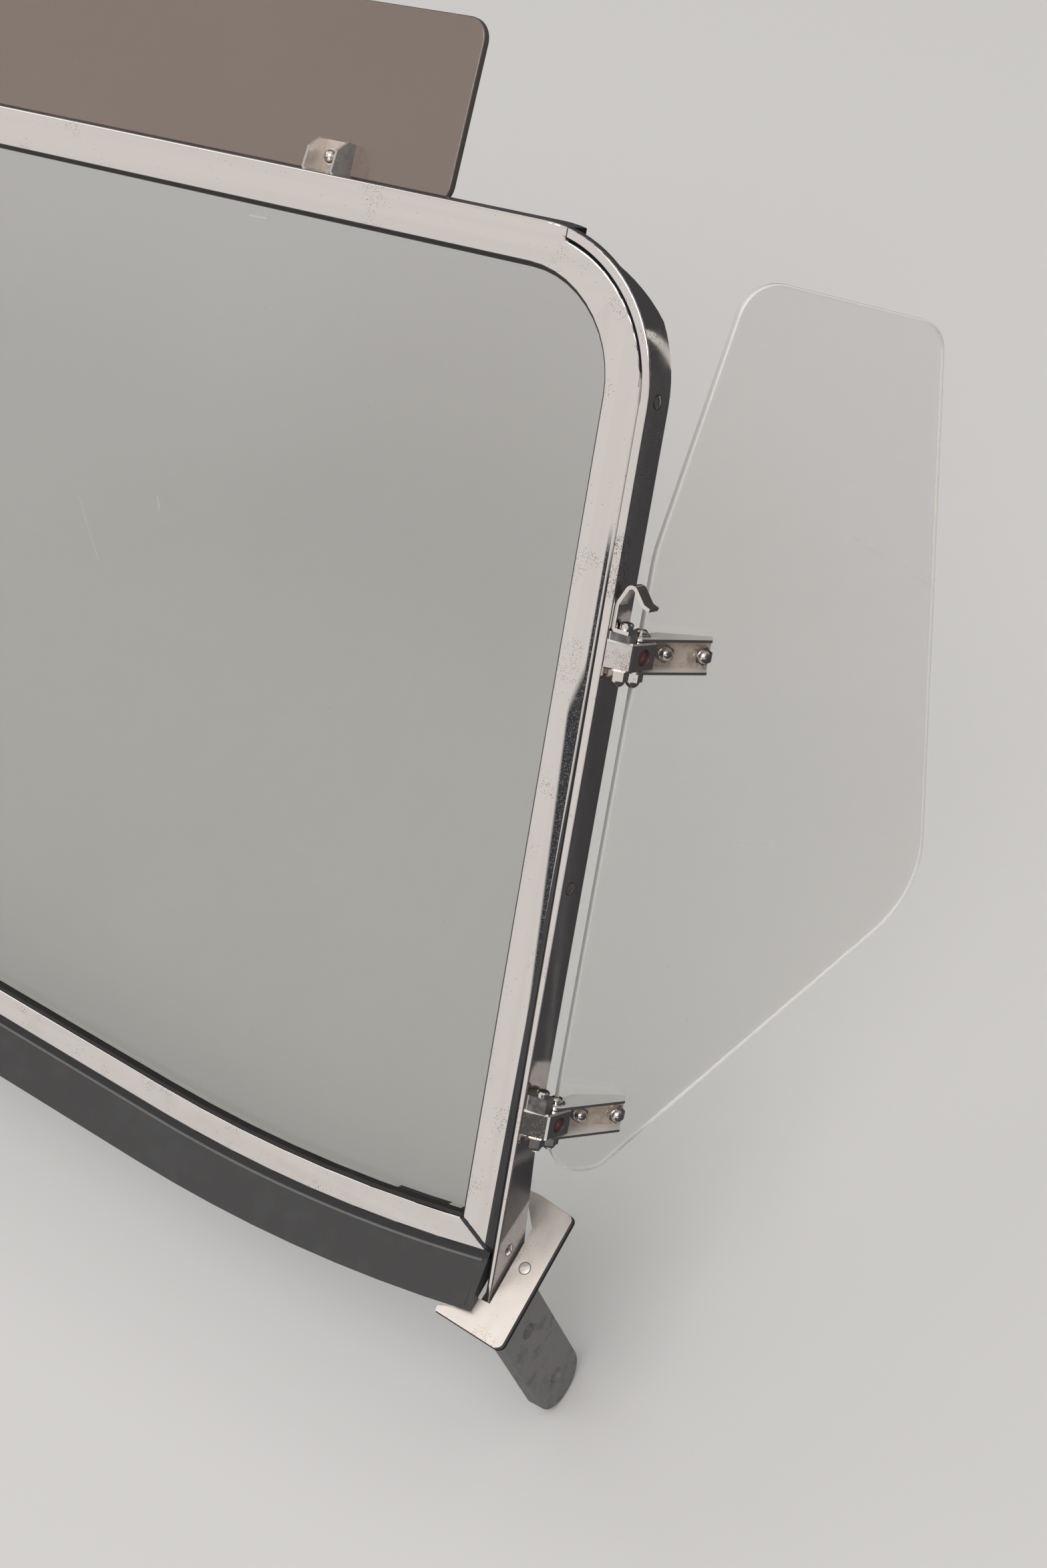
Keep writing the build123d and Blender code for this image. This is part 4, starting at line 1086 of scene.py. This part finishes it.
def tube(line, across, up, radius, count=8):
    """Round each point of a line a closed loop: radius times an angle's cosine across and its sine up."""
    angle = np.linspace(0.0, 2 * math.pi, count, endpoint=False)
    spokes = np.cos(angle)[:, None] * np.array(across) + np.sin(angle)[:, None] * np.array(up)
    return capped(line[:, None, :] + radius * spokes[None, :, :])


def apron_end(side):
    """A wedge of rubber from the apron back to the post, standing on the base plate.

    Down from the lower rail its front keeps 0.3 mm behind the apron's face, and its back comes forward
    where the plate's top rises, at 0.87 of the height. The corners are cut by 0.5 mm.
    """
    inner, outer, cut = 0.5972, 0.6010, 0.0005
    drop = np.linspace(0.001, 0.0245, 12)
    v = rail_line(outer) - RAIL_FACE - drop
    front = drop * APRON_FLARE - (APRON_BACK + 0.0003)
    back = np.maximum(-0.010, v * -0.87) + 0.0005
    u = side * np.array([inner, inner + cut, outer - cut, outer, outer, outer - cut, inner + cut, inner])
    share = np.array([1, 1, 1, 1, 0, 0, 0, 0])
    shift = np.array([-cut, 0, 0, -cut, cut, 0, 0, cut])
    n = back[:, None] + (front - back)[:, None] * share + shift
    return capped(on_screen(u, v[:, None], n))


class PIECES_OT_beads(bpy.types.Operator):
    """A moulded bead along the apron, and the apron's ends against the posts"""

    bl_idname = "windscreen.beads"
    bl_label = "Apron's bead and ends"

    def execute(self, context):
        settings = context.scene.windscreen
        # The bead's lighter grey is a painted highlight
        rubber = rubbery("bead_rubber", BEAD_HIGHLIGHT, sheen=0.1)
        u = np.linspace(-0.5985, 0.5985, 241)
        drop = settings.beads.drop
        line = on_screen(u, rail_line(u) - RAIL_FACE - drop, drop * APRON_FLARE - APRON_BACK)
        bead = tube(line, UP_SLOPE, OUT_FACE, settings.beads.radius)
        grid_piece("apron_bead", bead, "screen", rubber)
        for name, side in SIDES:
            grid_piece(f"{name}_apron_end", apron_end(side), "screen", bpy.data.materials["apron_rubber"])
        return {"FINISHED"}


def seen_in_mirror(graph):
    """1 for a ray that metal or glass has mirrored, 0 for the camera's own and for scattered light."""
    bounces = graph.node("ShaderNodeLightPath", {}, out="Glossy Depth")
    scattered = graph.node("ShaderNodeLightPath", {}, out="Is Diffuse Ray")
    return (bounces > 0.5) * (1 - scattered)


class STAGE_OT_build(bpy.types.Operator):
    """Floor, soft light and the camera at the photograph's angle"""

    bl_idname = "windscreen.stage"
    bl_label = "Stage"

    def execute(self, context):
        stage = context.scene.windscreen.stage
        self.camera(context)
        self.floor(context, colour(stage.floor))
        aim = Vector((0.3, 0.1, 0.2))
        for name, place, size, power in (
            ("key", (0.9, -0.9, 3.2), 2.0, stage.key),
            ("fill", (-2.6, 0.8, 2.4), 2.4, stage.fill),
        ):
            lamp = bpy.data.lights.new(name, "AREA")
            lamp.size = size
            lamp.energy = power
            holder = bpy.data.objects.new(name, lamp)
            holder.location = place
            holder.rotation_euler = (aim - holder.location).to_track_quat("-Z", "Y").to_euler()
            context.scene.collection.objects.link(holder)
        self.world(context)
        context.scene.view_settings.view_transform = "Standard"
        return {"FINISHED"}

    @staticmethod
    def floor(context, tint):
        """A pale floor. Polished metal sees it as a dark one, as in a studio hung with black."""
        bpy.ops.mesh.primitive_plane_add(size=40.0, location=(0.0, 0.0, cad_box[0][2] - 0.0005))
        floor = context.object
        floor.name = "floor"
        material, graph = new_material("floor_paint")
        pale = graph.principled(Base_Color=tint, Roughness=0.9)
        dark = graph.principled(Base_Color=(0.05, 0.05, 0.056), Roughness=0.9)
        graph.ends(graph.mix(seen_in_mirror(graph), pale, dark))
        floor.data.materials.append(material)

    @staticmethod
    def world(context):
        """Even light for matt surfaces. Mirrors see a pale wall in front, a bright roof, darker sides."""
        world = bpy.data.worlds.new("studio")
        world.use_nodes = True
        graph = Graph(world.node_tree)
        ray = graph.node("ShaderNodeTexCoord", {}, out="Generated")

        def patch(direction, low, high):
            """1 round a direction, fading from high to low as the cosine of the angle off it falls."""
            return graph.along(ray, Vector(direction).normalized()).between(low, high)

        rise = graph.along(ray, (0.0, 0.0, 1.0))
        front = patch((-0.50, -0.78, 0.30), 0.55, 0.93) * graph.along(ray, ACROSS).between(0.10, -0.12)
        roof = rise.between(0.62, 0.80) * 0.70
        back = patch((0.2, 0.95, 0.2), 0.7, 0.95) * 0.3
        steep_right = patch((0.146, -0.826, 0.545), 0.962, 0.988)
        right = steep_right.most(patch((0.587, -0.700, 0.407), 0.950, 0.980)) * 0.7
        walls = (0.07 + front * 0.68).most(roof).most(back).most(right) * rise.between(-0.06, 0.05)
        mirror = graph.node("ShaderNodeBackground", {}, (1.0, 0.97, 0.95, 1.0), walls + 0.02)
        even = graph.node("ShaderNodeBackground", {}, (0.92, 0.91, 0.90, 1.0), 0.62)
        graph.node("ShaderNodeOutputWorld", {}, graph.mix(seen_in_mirror(graph), even, mirror))
        context.scene.world = world

    @staticmethod
    def camera(context):
        """The photograph's camera, solved from the parallel edges, with its focal length in pixels.

        It shows the target at a known pixel, where the picture has 3700 pixels a metre.
        """
        width, height, focal, sensor = 1568.0, 2349.0, 3473.4, 36.0
        target, seen_x, seen_y, per_metre = screen_point(0.6134, 0.298, 0.0), 929.0, 983.0, 3700.0
        right = ACROSS * 0.80515 + UP_SLOPE * 0.15927 - OUT_FACE * 0.57128
        down = ACROSS * 0.29479 - UP_SLOPE * 0.94332 + OUT_FACE * 0.15248
        ahead = ACROSS * -0.51461 - UP_SLOPE * 0.29118 - OUT_FACE * 0.80647
        ray = ahead + right * ((seen_x - width / 2) / focal) + down * ((seen_y - height / 2) / focal)
        eye = target - ray * (focal / per_metre)
        data = bpy.data.cameras.new("camera")
        data.sensor_fit = "VERTICAL"
        data.sensor_height = sensor
        data.lens = focal / height * sensor
        data.clip_start = 0.02
        camera = bpy.data.objects.new("camera", data)
        turn = Matrix((right, -down, -ahead)).transposed()
        camera.matrix_world = Matrix.Translation(eye) @ turn.to_4x4()
        context.scene.collection.objects.link(camera)
        context.scene.camera = camera


STEPS = (
    "windscreen.stage",
    "windscreen.metal",
    "windscreen.sheets",
    "windscreen.screws",
    "windscreen.washers",
    "windscreen.beads",
)


class WINDSCREEN_PT_panel(bpy.types.Panel):
    """Sizes, colours and building steps of the windscreen"""

    bl_idname = "WINDSCREEN_PT_panel"
    bl_label = "Windscreen"
    bl_space_type = "VIEW_3D"
    bl_region_type = "UI"
    bl_category = "Windscreen"

    def draw(self, context):
        settings = context.scene.windscreen
        for group in ("chrome", "sheets", "screws", "washers", "beads", "stage"):
            box = self.layout.box()
            values = getattr(settings, group)
            for key in values.bl_rna.properties.keys():
                if key not in ("rna_type", "name"):
                    box.prop(values, key)
        for step in STEPS:
            self.layout.operator(step)


classes = (
    ChromeSettings,
    SheetSettings,
    ScrewSettings,
    WasherSettings,
    BeadSettings,
    StageSettings,
    WindscreenSettings,
    STAGE_OT_build,
    FINISH_OT_metal,
    FINISH_OT_sheets,
    PIECES_OT_screws,
    PIECES_OT_washers,
    PIECES_OT_beads,
    WINDSCREEN_PT_panel,
)


def register():
    for kind in classes:
        bpy.utils.register_class(kind)
    bpy.types.Scene.windscreen = PointerProperty(type=WindscreenSettings)


def unregister():
    del bpy.types.Scene.windscreen
    for kind in reversed(classes):
        bpy.utils.unregister_class(kind)


def main():
    register()
    bpy.ops.windscreen.stage()
    bpy.ops.windscreen.metal()
    bpy.ops.windscreen.sheets()
    bpy.ops.windscreen.screws()
    bpy.ops.windscreen.washers()
    bpy.ops.windscreen.beads()
    bpy.context.view_layer.update()


if __name__ == "__main__":
    main()
